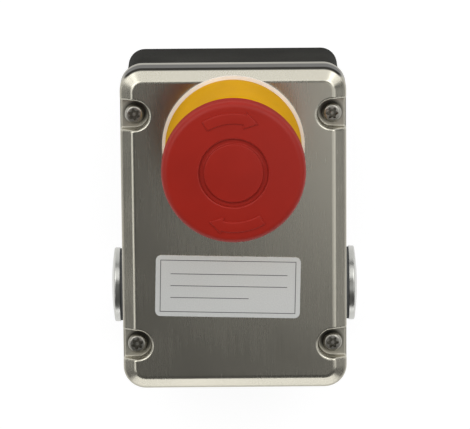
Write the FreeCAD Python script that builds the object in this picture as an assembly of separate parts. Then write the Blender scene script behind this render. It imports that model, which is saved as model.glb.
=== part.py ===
import FreeCAD, Part
import math
import os

from FreeCAD import Vector

# Driving dimensions in millimetres, angles in degrees.
# The mounting face lies on z = 0, the button looks up +Z and its end of the box is +Y.

# Front cover, a pressed steel lid
COVER_WIDTH = 64.5
COVER_LENGTH = 94.1
COVER_CORNER_RADIUS = 6.5
COVER_SHEET = 1.2
COVER_FIT = 0.4
SKIRT_DEPTH = 8.6
SHOULDER_INSET = 3.6
SHOULDER_RISE = 2.3
FACE_EDGE_ROUND = 2.0
SHOULDER_EDGE_ROUND = 1.0
SKIRT_EDGE_ROUND = 0.5

# Screw pockets pressed into the cover, and the screws in them
POCKET_DEPTH = 3.8
POCKET_RADIUS = 4.2
POCKET_RIM_ROUND = 0.8
POCKET_FOOT_ROUND = 0.5
SCREW_FROM_SIDE = 4.05
SCREW_FROM_END = 13.3
SCREW_HEAD_RADIUS = 2.75
SCREW_HEAD_HEIGHT = 2.0
SCREW_HEAD_CHAMFER = 0.8
SCREW_SHANK_RADIUS = 1.5
SCREW_GRIP = 12.0
SCREW_HOLE_EXTRA = 0.25
THREAD_CLEARANCE = 0.05

# Rear box
RIM_HEIGHT = 37.1
BOX_WALL = 2.2
BOX_FLOOR = 2.5
BOX_BACK_ROUND = 2.0
PILLAR_RADIUS = 4.2
MOUNT_HOLE_RADIUS = 2.0
MOUNT_HOLE_DEPTH = 7.0
MOUNT_HOLE_FROM_SIDE = 12.25
MOUNT_HOLE_FROM_END = 10.05
MOUNT_BOSS_RADIUS = 3.7
MOUNT_BOSS_COVER = 2.0

# Gasket, a flat ring on the rim with an upright lip inside the skirt
GASKET_THICKNESS = 1.6
GASKET_WIDTH = 3.2
GASKET_LIP = 1.9
GASKET_GAP = 0.05

# Cable entries and their plugs
ENTRY_FROM_END = 24.75
ENTRY_HEIGHT = 16.0
ENTRY_RADIUS = 10.0
ENTRY_BOSS_RADIUS = 12.3
ENTRY_BOSS_PROUD = 1.4
PLUG_SEAL_RADIUS = 10.6
PLUG_SEAL_THICKNESS = 1.5
PLUG_HEAD_RADIUS = 10.9
PLUG_RIM = 1.6
PLUG_RIM_ROUND = 0.5
PLUG_DOME = 0.9
PLUG_SHANK = 7.6
PLUG_WALL = 2.4
PLUG_WEB = 1.6
PLUG_KEY_ACROSS_FLATS = 8.0
PLUG_KEY_DEPTH = 2.6

# Information label
LABEL_WIDTH = 41.6
LABEL_HEIGHT = 18.0
LABEL_THICKNESS = 0.3
LABEL_CORNER_RADIUS = 1.6
LABEL_OFF_CENTRE = -1.9
LABEL_FROM_END = 30.6
LABEL_TURN = -1.46

# Earth terminal on the floor of the box
EARTH_FROM_END = 13.5
EARTH_BOSS_RADIUS = 4.0
EARTH_BOSS_HEIGHT = 5.0
EARTH_CLAMP_SIDE = 9.0
EARTH_CLAMP_THICKNESS = 1.2
EARTH_SHANK_RADIUS = 2.0
EARTH_SHANK_LENGTH = 6.0
EARTH_HEAD_RADIUS = 3.6
EARTH_HEAD_HEIGHT = 2.4
EARTH_HEAD_CHAMFER = 0.8

# Button: travel, running fits and barrel
BUTTON_MARGIN = 11.05
TRAVEL = 4.5
RUNNING_CLEARANCE = 0.06
MOVING_GAP = 0.3
BARREL_RADIUS = 11.0
BARREL_HOLE_CLEARANCE = 0.25
BARREL_BELOW_FACE = 11.7
BARREL_FLANGE_THICKNESS = 3.5
WASHER_WIDTH = 4.5
WASHER_THICKNESS = 1.3
NUT_WALL = 3.0
NUT_THICKNESS = 4.8

# Collar, its ring seal and its wiper
SEAL_PROUD = 0.9
SEAL_THICKNESS = 1.4
COLLAR_FOOT_WALL = 2.6
COLLAR_TOP_WALL = 2.2
COLLAR_TAPER = 1.8
COLLAR_HEIGHT = 17.5
COLLAR_FOOT = 2.6
COLLAR_WEB = 1.3
COLLAR_TOP_ROUND = 1.2
COLLAR_FOOT_ROUND = 0.5
WIPER_WIDTH = 1.7
WIPER_THICKNESS = 2.0
WIPER_DEPTH = 1.2
COLLAR_NECK = 2.8

# Mushroom head and its centre disc
HEAD_RADIUS = 20.0
HEAD_ABOVE_FACE = 38.4
HEAD_CROWN = 1.0
HEAD_RIM = 7.2
HEAD_TOP_ROUND = 2.0
HEAD_LOW_ROUND = 0.9
HEAD_UNDERCUT = 1.2
HEAD_LIP = 2.0
HUB_RADIUS = 13.4
HUB_WALL = 2.0
HUB_LENGTH = 19.0
HUB_CEILING = 8.1
BOSS_LAND = 0.6
BOSS_DEPTH = 16.1
DISC_FLANGE_RADIUS = 9.55
DISC_RADIUS = 8.25
DISC_CROWN = 0.3
DISC_THICKNESS = 2.1
GROOVE_DEPTH = 1.0
GROOVE_ROUND = 0.5

# Stem, the screw that holds the head on it, and the push bar
STEM_RADIUS = 5.0
STEM_SPIGOT_RADIUS = 3.0
HEAD_SCREW_LAND = 1.74
HEAD_SCREW_HEIGHT = 1.9
HEAD_SCREW_CHAMFER = 0.5
HEAD_SCREW_SEAT = 5.7
HEAD_SCREW_SHANK_RADIUS = 2.0
HEAD_SCREW_LENGTH = 10.0
PUSH_BAR_LENGTH = 27.0
PUSH_BAR_WIDTH = 8.0
PUSH_BAR_THICKNESS = 3.0
PUSH_BAR_ROUND = 1.5
STEM_STOP_GAP = 0.4

# Latch ring, release sleeve and return spring
LATCH_WIRE_RADIUS = 0.6
LATCH_RECESS_GAP = 0.4
LATCH_RECESS_DEPTH = 2.5
LATCH_GAP_ANGLE = 70.0
LATCH_NOTCH_DEPTH = 0.5
LATCH_NOTCH_HEIGHT = 1.8
SLEEVE_WALL = 1.1
SLEEVE_SOCKET = 2.0
TONGUE_ANGLE = 20.0
TONGUE_MARGIN = 5.0
SPRING_SEAT_THICKNESS = 0.8
SPRING_SEAT_LAND = 1.0
SPRING_GAP = 1.24
SPRING_WIRE_RADIUS = 0.6
SPRING_TURNS = 5
COIL_STEPS = 12
COIL_SIDES = 6

# Contact carrier and contact blocks
CARRIER_RING_WALL = 3.0
CARRIER_BELOW_NUT = 0.5
CARRIER_PLATE = 2.5
CARRIER_RING = 3.7
CARRIER_WALL = 1.8
CARRIER_LEG = 18.4
CATCH_DEPTH = 0.7
CATCH_HEIGHT = 1.5
CATCH_BELOW_TOP = 3.4
CATCH_CLEARANCE = 0.15
BLOCK_COUNT = 3
OPENING_BLOCKS = 2
BLOCK_WIDTH = 10.0
BLOCK_PITCH = 10.2
BLOCK_LENGTH = 30.0
BLOCK_HEIGHT = 19.3
BLOCK_WALL = 1.2
BLOCK_ROUND = 0.8
BLOCK_CHAMBER_WIDTH = 7.4
BLOCK_CHAMBER_LENGTH = 19.0
BLOCK_CLEAR = 0.2
PLUNGER_WIDTH = 5.2
PLUNGER_LENGTH = 6.0
BRIDGE_REST_GAP = 2.65
BRIDGE_WIDTH = 3.2
BRIDGE_LENGTH = 17.0
BRIDGE_THICKNESS = 1.0
RIVET_RADIUS = 1.3
RIVET_HEIGHT = 0.5
RIVET_OFFSET = 6.6
CONTACT_GAP = 0.05
PLATE_WIDTH = 5.0
PLATE_THICKNESS = 0.8
PLATE_INNER_END = 5.0
PLATE_OUTER_END = 14.4
PLATE_SLOT_EXTRA = 0.1
TERMINAL_OFFSET = 12.3
TERMINAL_HEAD_RADIUS = 2.7
TERMINAL_HEAD_HEIGHT = 2.0
TERMINAL_HEAD_CHAMFER = 0.4
TERMINAL_SHANK_RADIUS = 1.6
TERMINAL_SHANK_LENGTH = 3.6
TERMINAL_RECESS_RADIUS = 3.1
WIRE_WAY_WIDTH = 5.0
WIRE_WAY_HEIGHT = 3.0
CONTACT_SPRING_RADIUS = 1.3
CONTACT_SPRING_WIRE_RADIUS = 0.22
CONTACT_SPRING_TURNS = 5

# Heights and places that follow from them
POCKET_FLOOR_Z = RIM_HEIGHT + GASKET_THICKNESS + COVER_SHEET
FACE_Z = POCKET_FLOOR_Z + POCKET_DEPTH
SHOULDER_Z = FACE_Z - SHOULDER_RISE
SKIRT_Z = SHOULDER_Z - SKIRT_DEPTH
BOX_INSET = COVER_SHEET + COVER_FIT
BOX_HALF_WIDTH = COVER_WIDTH / 2 - BOX_INSET
SCREW_X = COVER_WIDTH / 2 - SCREW_FROM_SIDE
SCREW_Y = COVER_LENGTH / 2 - SCREW_FROM_END
MOUNT_HOLE_X = COVER_WIDTH / 2 - MOUNT_HOLE_FROM_SIDE
MOUNT_HOLE_Y = COVER_LENGTH / 2 - MOUNT_HOLE_FROM_END
BUTTON_Y = COVER_LENGTH / 2 - BARREL_RADIUS - BUTTON_MARGIN
ENTRY_Y = ENTRY_FROM_END - COVER_LENGTH / 2
EARTH_Y = EARTH_FROM_END - COVER_LENGTH / 2
LABEL_Y = LABEL_FROM_END - COVER_LENGTH / 2
ENTRY_FACE_X = BOX_HALF_WIDTH + ENTRY_BOSS_PROUD
PLUG_SEAT_X = ENTRY_FACE_X + PLUG_SEAL_THICKNESS

BARREL_HOLE_RADIUS = BARREL_RADIUS + BARREL_HOLE_CLEARANCE
WASHER_RADIUS = BARREL_RADIUS + WASHER_WIDTH
NUT_ACROSS_FLATS = 2 * (BARREL_RADIUS + NUT_WALL)
CARRIER_RING_RADIUS = BARREL_RADIUS + CARRIER_RING_WALL
WIPER_RADIUS = HUB_RADIUS + MOVING_GAP + WIPER_WIDTH
COLLAR_TOP_RADIUS = WIPER_RADIUS + COLLAR_TOP_WALL
COLLAR_RADIUS = COLLAR_TOP_RADIUS + COLLAR_TAPER
COLLAR_CAVITY_RADIUS = COLLAR_RADIUS - COLLAR_FOOT_WALL
BARREL_FLANGE_RADIUS = COLLAR_CAVITY_RADIUS - COVER_FIT
SEAL_RADIUS = COLLAR_RADIUS + SEAL_PROUD
STEM_BORE_RADIUS = STEM_RADIUS + RUNNING_CLEARANCE
SLEEVE_RADIUS = STEM_BORE_RADIUS + SLEEVE_WALL
LATCH_RADIUS = STEM_RADIUS + MOVING_GAP + LATCH_WIRE_RADIUS
LATCH_RECESS_RADIUS = LATCH_RADIUS + LATCH_WIRE_RADIUS + LATCH_RECESS_GAP
SPRING_RADIUS = SLEEVE_RADIUS + SPRING_GAP + SPRING_WIRE_RADIUS
BOSS_RADIUS = SPRING_RADIUS + SPRING_WIRE_RADIUS + BOSS_LAND
SPRING_SEAT_RADIUS = BOSS_RADIUS + SPRING_SEAT_LAND
HEAD_SCREW_RADIUS = STEM_BORE_RADIUS + HEAD_SCREW_LAND

COLLAR_Z = FACE_Z + SEAL_THICKNESS
COLLAR_TOP_Z = COLLAR_Z + COLLAR_HEIGHT
FLANGE_Z = COLLAR_Z + COLLAR_WEB
FLANGE_TOP_Z = FLANGE_Z + BARREL_FLANGE_THICKNESS
LATCH_LEDGE_Z = FLANGE_TOP_Z - LATCH_RECESS_DEPTH
SPRING_FOOT_Z = FLANGE_TOP_Z + SPRING_SEAT_THICKNESS
BARREL_END_Z = FACE_Z - BARREL_BELOW_FACE
WASHER_Z = FACE_Z - COVER_SHEET - WASHER_THICKNESS
NUT_Z = WASHER_Z - NUT_THICKNESS
CARRIER_TOP_Z = NUT_Z - CARRIER_BELOW_NUT

HEAD_TOP_Z = FACE_Z + HEAD_ABOVE_FACE
RIM_LOW_Z = HEAD_TOP_Z - HEAD_RIM
DISC_SEAT_Z = HEAD_TOP_Z - DISC_THICKNESS
HEAD_SCREW_SEAT_Z = HEAD_TOP_Z - HEAD_SCREW_SEAT
STEM_TOP_Z = HEAD_SCREW_SEAT_Z + RUNNING_CLEARANCE
BOSS_LOW_Z = HEAD_TOP_Z - BOSS_DEPTH
SLEEVE_TOP_Z = BOSS_LOW_Z + SLEEVE_SOCKET
LATCH_Z = LATCH_LEDGE_Z + LATCH_WIRE_RADIUS
TONGUE_LOW_Z = LATCH_LEDGE_Z + MOVING_GAP
SLEEVE_LOW_Z = LATCH_Z + LATCH_WIRE_RADIUS + TRAVEL + MOVING_GAP

PUSH_BAR_TOP_Z = BARREL_END_Z - STEM_STOP_GAP
PUSH_BAR_LOW_Z = PUSH_BAR_TOP_Z - PUSH_BAR_THICKNESS
BLOCK_TOP_Z = PUSH_BAR_LOW_Z - TRAVEL - BLOCK_CLEAR
BLOCK_LOW_Z = BLOCK_TOP_Z - BLOCK_HEIGHT
CHAMBER_FLOOR_Z = BLOCK_LOW_Z + BLOCK_WALL
BRIDGE_Z = CHAMBER_FLOOR_Z + TRAVEL + BRIDGE_REST_GAP
BRIDGE_TOP_Z = BRIDGE_Z + BRIDGE_THICKNESS
OPENING_PLATE_Z = BRIDGE_TOP_Z + 2 * RIVET_HEIGHT + CONTACT_GAP
CLOSING_PLATE_Z = BRIDGE_Z - TRAVEL - 2 * RIVET_HEIGHT - CONTACT_GAP - PLATE_THICKNESS
CATCH_Z = BLOCK_TOP_Z - CATCH_BELOW_TOP

# How far a cutting tool runs past the face that it cuts, and how near two places count as the same
OVERRUN = 1.0
SAME = 0.01
Z_AXIS = Vector(0, 0, 1)
ORIGIN = Vector(0, 0, 0)


def corner_points(before, corner, after):
    """Start, middle and end of the arc that rounds one (u, v, radius) corner."""
    u, v, radius = corner
    if radius == 0:
        return (u, v), (u, v), (u, v)
    to_before = FreeCAD.Base.Vector2d(before[0] - u, before[1] - v)
    to_after = FreeCAD.Base.Vector2d(after[0] - u, after[1] - v)
    to_before.normalize()
    to_after.normalize()
    half_angle = math.acos(max(-1.0, min(1.0, to_before * to_after))) / 2
    reach = radius / math.tan(half_angle)
    bisector = to_before + to_after
    bisector.normalize()
    rise = radius / math.sin(half_angle) - radius
    start = (u + to_before.x * reach, v + to_before.y * reach)
    middle = (u + bisector.x * rise, v + bisector.y * rise)
    end = (u + to_after.x * reach, v + to_after.y * reach)
    return start, middle, end


def rounded_wire(corners, place):
    """Closed wire through (u, v, radius) corners, each with its own rounding."""
    count = len(corners)
    arcs = [corner_points(corners[i - 1], corners[i], corners[(i + 1) % count]) for i in range(count)]
    edges = []
    for index, (start, middle, end) in enumerate(arcs):
        if start != end:
            edges.append(Part.Arc(place(*start), place(*middle), place(*end)).toShape())
        following = arcs[(index + 1) % count][0]
        edges.append(Part.LineSegment(place(*end), place(*following)).toShape())
    return Part.Wire(edges)


def prism(corners, low, high):
    """Upright prism on an XY outline of (x, y, radius) corners."""
    wire = rounded_wire(corners, lambda x, y: Vector(x, y, low))
    return Part.Face(wire).extrude(Vector(0, 0, high - low))


def block(width, length, low, high, radius=0, x=0, y=0):
    """Upright block centred on (x, y), with rounded vertical edges if a radius is given."""
    signs = [(1, 1), (-1, 1), (-1, -1), (1, -1)]
    corners = [(x + sx * width / 2, y + sy * length / 2, radius) for sx, sy in signs]
    return prism(corners, low, high)


def enclosure_block(inset, low, high):
    """Block on the cover's outline, drawn in by inset."""
    radius = COVER_CORNER_RADIUS - inset
    return block(COVER_WIDTH - 2 * inset, COVER_LENGTH - 2 * inset, low, high, radius)


def rod(radius, low, high, x=0, y=0):
    """Upright cylinder at (x, y)."""
    return Part.makeCylinder(radius, high - low, Vector(x, y, low), Z_AXIS)


def tube(inner, outer, low, high, x=0, y=0):
    """Upright tube at (x, y)."""
    return rod(outer, low, high, x, y).cut(rod(inner, low - OVERRUN, high + OVERRUN, x, y))


def hexagon(across_flats, low, high):
    """Hexagonal prism on the Z axis, corners along X."""
    radius = across_flats / math.sqrt(3)
    angles = [math.radians(60 * i) for i in range(6)]
    return prism([(radius * math.cos(a), radius * math.sin(a), 0) for a in angles], low, high)


def turned(corners):
    """Solid of revolution about Z from (radius, height, rounding) corners."""
    wire = rounded_wire(corners, lambda r, z: Vector(r, 0, z))
    return Part.Face(wire).revolve(ORIGIN, Z_AXIS, 360)


def crown_radius(radius, rise):
    """Radius of the sphere that rises by so much over a radius."""
    return (radius ** 2 + rise ** 2) / (2 * rise)


def crowned(shape, radius, rise, top):
    """A turned shape cut to a dome that rises to its top over a radius."""
    sphere = crown_radius(radius, rise)
    return shape.common(Part.makeSphere(sphere, Vector(0, 0, top - sphere)))


def ring_sector(inner, outer, low, high, start_angle, sweep_angle):
    """Part of a tube about Z, from a start angle over a sweep angle."""
    wire = rounded_wire([(inner, low, 0), (outer, low, 0), (outer, high, 0), (inner, high, 0)],
                        lambda r, z: Vector(r, 0, z))
    sector = Part.Face(wire).revolve(ORIGIN, Z_AXIS, sweep_angle)
    sector.rotate(ORIGIN, Z_AXIS, start_angle)
    return sector


def coil(radius, wire_radius, turns, low, high):
    """Helical spring about Z between two heights, lofted through many-sided sections of its wire."""
    steps = turns * COIL_STEPS
    rise = (high - low - 2 * wire_radius) / steps
    angles = [math.tau * i / COIL_SIDES for i in range(COIL_SIDES)]
    sections = []
    for step in range(steps + 1):
        middle = low + wire_radius + step * rise
        corners = [(radius + wire_radius * math.cos(a), middle + wire_radius * math.sin(a), 0)
                   for a in angles]
        section = rounded_wire(corners, lambda r, z: Vector(r, 0, z))
        section.rotate(ORIGIN, Z_AXIS, 360 * step / COIL_STEPS)
        sections.append(section)
    return Part.makeLoft(sections, True, True)


def at(shape, x, y):
    """A copy of a shape moved across to (x, y)."""
    return shape.translated(Vector(x, y, 0))


def on_button(shape):
    """A copy of a shape moved to the button's axis."""
    return at(shape, 0, BUTTON_Y)


def fused(shapes):
    """One solid from pieces that overlap or touch."""
    return shapes[0].multiFuse(shapes[1:]).removeSplitter()


def edges_at_height(shape, height):
    """Edges that lie wholly at one height."""
    return [e for e in shape.Edges if abs(e.BoundBox.ZMin - height) + abs(e.BoundBox.ZMax - height) < SAME]


def edges_left_by(tool, shape):
    """Edges of a shape that lie on the walls of the tool that cut it."""
    found = []
    for edge in shape.Edges:
        first, last = edge.ParameterRange
        points = [edge.valueAt(first + (last - first) * share) for share in (0.02, 0.5, 0.98)]
        if all(tool.isInside(point, SAME, True) for point in points):
            found.append(edge)
    return found


def screw_places():
    """The four cover screws."""
    return [(sx * SCREW_X, sy * SCREW_Y) for sx in (1, -1) for sy in (1, -1)]


def mount_places():
    """The four mounting holes in the back of the box."""
    return [(sx * MOUNT_HOLE_X, sy * MOUNT_HOLE_Y) for sx in (1, -1) for sy in (1, -1)]


def headed_screw(head_radius, head_height, chamfer, shank_radius, shank_length):
    """Screw standing head up, its head's seat at z = 0."""
    return turned([(0, -shank_length, 0), (shank_radius, -shank_length, 0), (shank_radius, 0, 0),
                   (head_radius, 0, 0), (head_radius, head_height - chamfer, 0),
                   (head_radius - chamfer, head_height, 0), (0, head_height, 0)])


# Enclosure

def screw_pocket(x, y, grown, top):
    """U-shaped pocket around one screw, open to the side of the cover; grown gives its wall's far side."""
    radius = POCKET_RADIUS + grown
    floor = POCKET_FLOOR_Z - grown
    outside = math.copysign(COVER_WIDTH / 2 + OVERRUN, x)
    span = Part.makeBox(abs(outside - x), 2 * radius, top - floor, Vector(min(x, outside), y - radius, floor))
    return fused([rod(radius, floor, top, x, y), span])


def all_pockets(grown, top):
    """The four pockets as one cutting tool."""
    return Part.makeCompound([screw_pocket(x, y, grown, top) for x, y in screw_places()])


def plateau_form(inset, rounded):
    """Skirt, sloped shoulder and plateau as a solid; inset gives the hollow under the sheet."""
    face = FACE_Z - inset
    shoulder = SHOULDER_Z - inset
    skirt = enclosure_block(inset, SKIRT_Z, shoulder)
    foot = enclosure_block(inset, shoulder, face).Wires
    lower = [w for w in foot if abs(w.BoundBox.ZMax - shoulder) < SAME][0]
    upper_block = enclosure_block(inset + SHOULDER_INSET, shoulder, face)
    upper = [w for w in upper_block.Wires if abs(w.BoundBox.ZMin - face) < SAME][0]
    form = fused([skirt, Part.makeLoft([lower, upper], True, True)])
    if rounded:
        form = form.makeFillet(FACE_EDGE_ROUND, edges_at_height(form, face))
        form = form.makeFillet(SHOULDER_EDGE_ROUND, edges_at_height(form, shoulder))
        form = form.makeFillet(SKIRT_EDGE_ROUND, edges_at_height(form, SKIRT_Z))
    return form


def with_pockets(form, pockets):
    """The form with its pockets pressed in, their feet filled out and their rims rounded over."""
    form = form.cut(pockets)
    foot_level = POCKET_FLOOR_Z + SAME
    low_edges = [e for e in edges_left_by(pockets, form) if e.BoundBox.ZMax < foot_level]
    foot = [e for e in low_edges if e.BoundBox.XLength > SAME]
    form = form.makeFillet(POCKET_FOOT_ROUND, foot)
    rim_level = foot_level + POCKET_FOOT_ROUND
    rim = [e for e in edges_left_by(pockets, form) if e.BoundBox.ZMax > rim_level]
    return form.makeFillet(POCKET_RIM_ROUND, rim)


def front_cover():
    """Pressed lid with its plateau, its four open pockets and its holes."""
    top = FACE_Z + OVERRUN
    outer = with_pockets(plateau_form(0, True), all_pockets(0, top))
    hollow = plateau_form(COVER_SHEET, False).cut(all_pockets(COVER_SHEET, top))
    cover = outer.cut(hollow)
    holes = [rod(SCREW_SHANK_RADIUS + SCREW_HOLE_EXTRA, SKIRT_Z, top, x, y) for x, y in screw_places()]
    holes.append(rod(BARREL_HOLE_RADIUS, SKIRT_Z, top, 0, BUTTON_Y))
    return cover.cut(holes)


def rear_box():
    """Box with rounded back edges, screw pillars and a round pad outside each cable entry."""
    body = enclosure_block(BOX_INSET, 0, RIM_HEIGHT)
    body = body.makeFillet(BOX_BACK_ROUND, edges_at_height(body, 0))
    hollow = enclosure_block(BOX_INSET + BOX_WALL, BOX_FLOOR, RIM_HEIGHT + OVERRUN)
    pillars = [rod(PILLAR_RADIUS, BOX_FLOOR, RIM_HEIGHT, x, y).common(body) for x, y in screw_places()]
    wall_middle = BOX_HALF_WIDTH - BOX_WALL / 2
    shank_end = PLUG_SEAT_X - PLUG_SHANK - OVERRUN
    pads = []
    bores = []
    for side in (1, -1):
        along = Vector(side, 0, 0)
        start = Vector(side * wall_middle, ENTRY_Y, ENTRY_HEIGHT)
        pads.append(Part.makeCylinder(ENTRY_BOSS_RADIUS, ENTRY_FACE_X - wall_middle, start, along))
        inside = Vector(side * shank_end, ENTRY_Y, ENTRY_HEIGHT)
        bores.append(Part.makeCylinder(ENTRY_RADIUS + THREAD_CLEARANCE, ENTRY_FACE_X, inside, along))
    box = fused([body.cut(hollow)] + pillars + pads)
    thread_low = RIM_HEIGHT - SCREW_GRIP
    holes = [rod(SCREW_SHANK_RADIUS + THREAD_CLEARANCE, thread_low, RIM_HEIGHT + OVERRUN, x, y)
             for x, y in screw_places()]
    return box.cut(holes + bores + floor_holes())


def floor_holes():
    """Blind holes of the mounting screws, from behind, and of the earth screw, from inside."""
    holes = [rod(MOUNT_HOLE_RADIUS, -OVERRUN, MOUNT_HOLE_DEPTH, x, y) for x, y in mount_places()]
    earth_top = BOX_FLOOR + EARTH_BOSS_HEIGHT
    earth_low = earth_top - EARTH_SHANK_LENGTH
    return holes + [rod(EARTH_SHANK_RADIUS + THREAD_CLEARANCE, earth_low, earth_top + OVERRUN, 0, EARTH_Y)]


def floor_bosses():
    """Tapped bosses on the floor of the box: four for the mounting screws and one for the earth screw."""
    mount_top = MOUNT_HOLE_DEPTH + MOUNT_BOSS_COVER
    bosses = [rod(MOUNT_BOSS_RADIUS, BOX_FLOOR, mount_top, x, y) for x, y in mount_places()]
    bosses.append(rod(EARTH_BOSS_RADIUS, BOX_FLOOR, BOX_FLOOR + EARTH_BOSS_HEIGHT, 0, EARTH_Y))
    return [boss.cut(floor_holes()) for boss in bosses]


def cover_gasket():
    """Flat ring on the box's rim, widened round the screws, with a lip that fills the skirt."""
    outer_inset = COVER_SHEET + GASKET_GAP
    lip_top = SHOULDER_Z - COVER_SHEET
    flat_top = RIM_HEIGHT + GASKET_THICKNESS
    flat = enclosure_block(outer_inset, RIM_HEIGHT, flat_top)
    flat = flat.cut(enclosure_block(BOX_INSET + GASKET_WIDTH, RIM_HEIGHT - OVERRUN, flat_top + OVERRUN))
    lugs = [rod(PILLAR_RADIUS, RIM_HEIGHT, flat_top, x, y).common(enclosure_block(outer_inset, 0, FACE_Z))
            for x, y in screw_places()]
    lip = enclosure_block(outer_inset, RIM_HEIGHT, lip_top)
    lip = lip.cut(enclosure_block(outer_inset + GASKET_LIP, RIM_HEIGHT - OVERRUN, lip_top + OVERRUN))
    gasket = fused([flat, lip] + lugs)
    holes = [rod(SCREW_SHANK_RADIUS + SCREW_HOLE_EXTRA, RIM_HEIGHT - OVERRUN, lip_top + OVERRUN, x, y)
             for x, y in screw_places()]
    return gasket.cut(all_pockets(COVER_SHEET, FACE_Z)).cut(holes)


def cover_screws():
    """Four pan head screws on the pocket floors."""
    shank = POCKET_FLOOR_Z - RIM_HEIGHT + SCREW_GRIP - OVERRUN
    screw = headed_screw(SCREW_HEAD_RADIUS, SCREW_HEAD_HEIGHT, SCREW_HEAD_CHAMFER, SCREW_SHANK_RADIUS, shank)
    screw.translate(Vector(0, 0, POCKET_FLOOR_Z))
    return [at(screw, x, y) for x, y in screw_places()]


def information_label():
    """Thin plate with rounded corners, stuck on slightly askew."""
    label = block(LABEL_WIDTH, LABEL_HEIGHT, FACE_Z, FACE_Z + LABEL_THICKNESS, LABEL_CORNER_RADIUS)
    label.rotate(ORIGIN, Z_AXIS, LABEL_TURN)
    return at(label, LABEL_OFF_CENTRE, LABEL_Y)


def on_entry(shape, side):
    """A copy of a piece built up along Z, laid outwards on the seat of one entry."""
    placed = shape.copy()
    placed.rotate(ORIGIN, Vector(0, 1, 0), side * 90)
    placed.translate(Vector(side * PLUG_SEAT_X, ENTRY_Y, ENTRY_HEIGHT))
    return placed


def entry_plug(side):
    """Domed stopping plug with a hollow shank and a hexagon key socket."""
    top = PLUG_RIM + PLUG_DOME
    bore = ENTRY_RADIUS - PLUG_WALL
    plug = turned([(bore, -PLUG_SHANK, 0), (ENTRY_RADIUS, -PLUG_SHANK, 0), (ENTRY_RADIUS, 0, 0),
                   (PLUG_HEAD_RADIUS, 0, 0), (PLUG_HEAD_RADIUS, top, 0), (0, top, 0),
                   (0, top - PLUG_KEY_DEPTH - PLUG_WEB, 0), (bore, top - PLUG_KEY_DEPTH - PLUG_WEB, 0)])
    plug = crowned(plug, PLUG_HEAD_RADIUS, PLUG_DOME, top)
    plug = plug.makeFillet(PLUG_RIM_ROUND, edges_at_height(plug, PLUG_RIM))
    plug = plug.cut(hexagon(PLUG_KEY_ACROSS_FLATS, top - PLUG_KEY_DEPTH, top + OVERRUN))
    return on_entry(plug, side)


def entry_plug_seal(side):
    """Flat ring between an entry's boss and its plug."""
    return on_entry(tube(ENTRY_RADIUS + THREAD_CLEARANCE, PLUG_SEAL_RADIUS, -PLUG_SEAL_THICKNESS, 0), side)


def earth_clamp():
    """Square clamp plate on the earth boss."""
    low = BOX_FLOOR + EARTH_BOSS_HEIGHT
    high = low + EARTH_CLAMP_THICKNESS
    plate = block(EARTH_CLAMP_SIDE, EARTH_CLAMP_SIDE, low, high, BLOCK_ROUND)
    hole = rod(EARTH_SHANK_RADIUS + SCREW_HOLE_EXTRA, low - OVERRUN, high + OVERRUN)
    return at(plate.cut(hole), 0, EARTH_Y)


def earth_screw():
    """Pan head screw of the earth terminal."""
    screw = headed_screw(EARTH_HEAD_RADIUS, EARTH_HEAD_HEIGHT, EARTH_HEAD_CHAMFER,
                         EARTH_SHANK_RADIUS, EARTH_SHANK_LENGTH)
    seat = BOX_FLOOR + EARTH_BOSS_HEIGHT + EARTH_CLAMP_THICKNESS
    return screw.translated(Vector(0, EARTH_Y, seat))


# Fixed pieces of the button

def collar_seal():
    """Flat ring seal between the cover and the collar."""
    return on_button(tube(BARREL_HOLE_RADIUS, SEAL_RADIUS, FACE_Z, COLLAR_Z))


def yellow_collar():
    """Tapered shroud on a web that the barrel's flange clamps, with a groove for the wiper."""
    neck = HUB_RADIUS + 2 * MOVING_GAP + THREAD_CLEARANCE
    wiper_top = COLLAR_TOP_Z - WIPER_DEPTH
    wiper_low = wiper_top - WIPER_THICKNESS
    neck_low = wiper_low - COLLAR_NECK
    collar = turned([(BARREL_HOLE_RADIUS, COLLAR_Z, 0), (COLLAR_RADIUS, COLLAR_Z, COLLAR_FOOT_ROUND),
                     (COLLAR_RADIUS, COLLAR_Z + COLLAR_FOOT, COLLAR_TOP_ROUND),
                     (COLLAR_TOP_RADIUS, COLLAR_TOP_Z, COLLAR_TOP_ROUND), (neck, COLLAR_TOP_Z, 0),
                     (neck, wiper_top, 0), (WIPER_RADIUS, wiper_top, 0), (WIPER_RADIUS, wiper_low, 0),
                     (neck, wiper_low, 0), (neck, wiper_low - COLLAR_WEB, 0),
                     (COLLAR_CAVITY_RADIUS, neck_low, 0), (COLLAR_CAVITY_RADIUS, FLANGE_Z, 0),
                     (BARREL_HOLE_RADIUS, FLANGE_Z, 0)])
    return on_button(collar)


def hub_wiper():
    """Lip seal that the head's hub slides and turns in."""
    top = COLLAR_TOP_Z - WIPER_DEPTH
    low = top - WIPER_THICKNESS
    inner = HUB_RADIUS + MOVING_GAP
    outer = WIPER_RADIUS - THREAD_CLEARANCE
    return on_button(turned([(inner, low, 0), (outer, low, 0), (outer, top, 0), (inner, top, 0)]))


def latch_gap_start():
    """Angle at which the latch ring ends and its gap starts."""
    return 360 - LATCH_GAP_ANGLE


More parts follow.
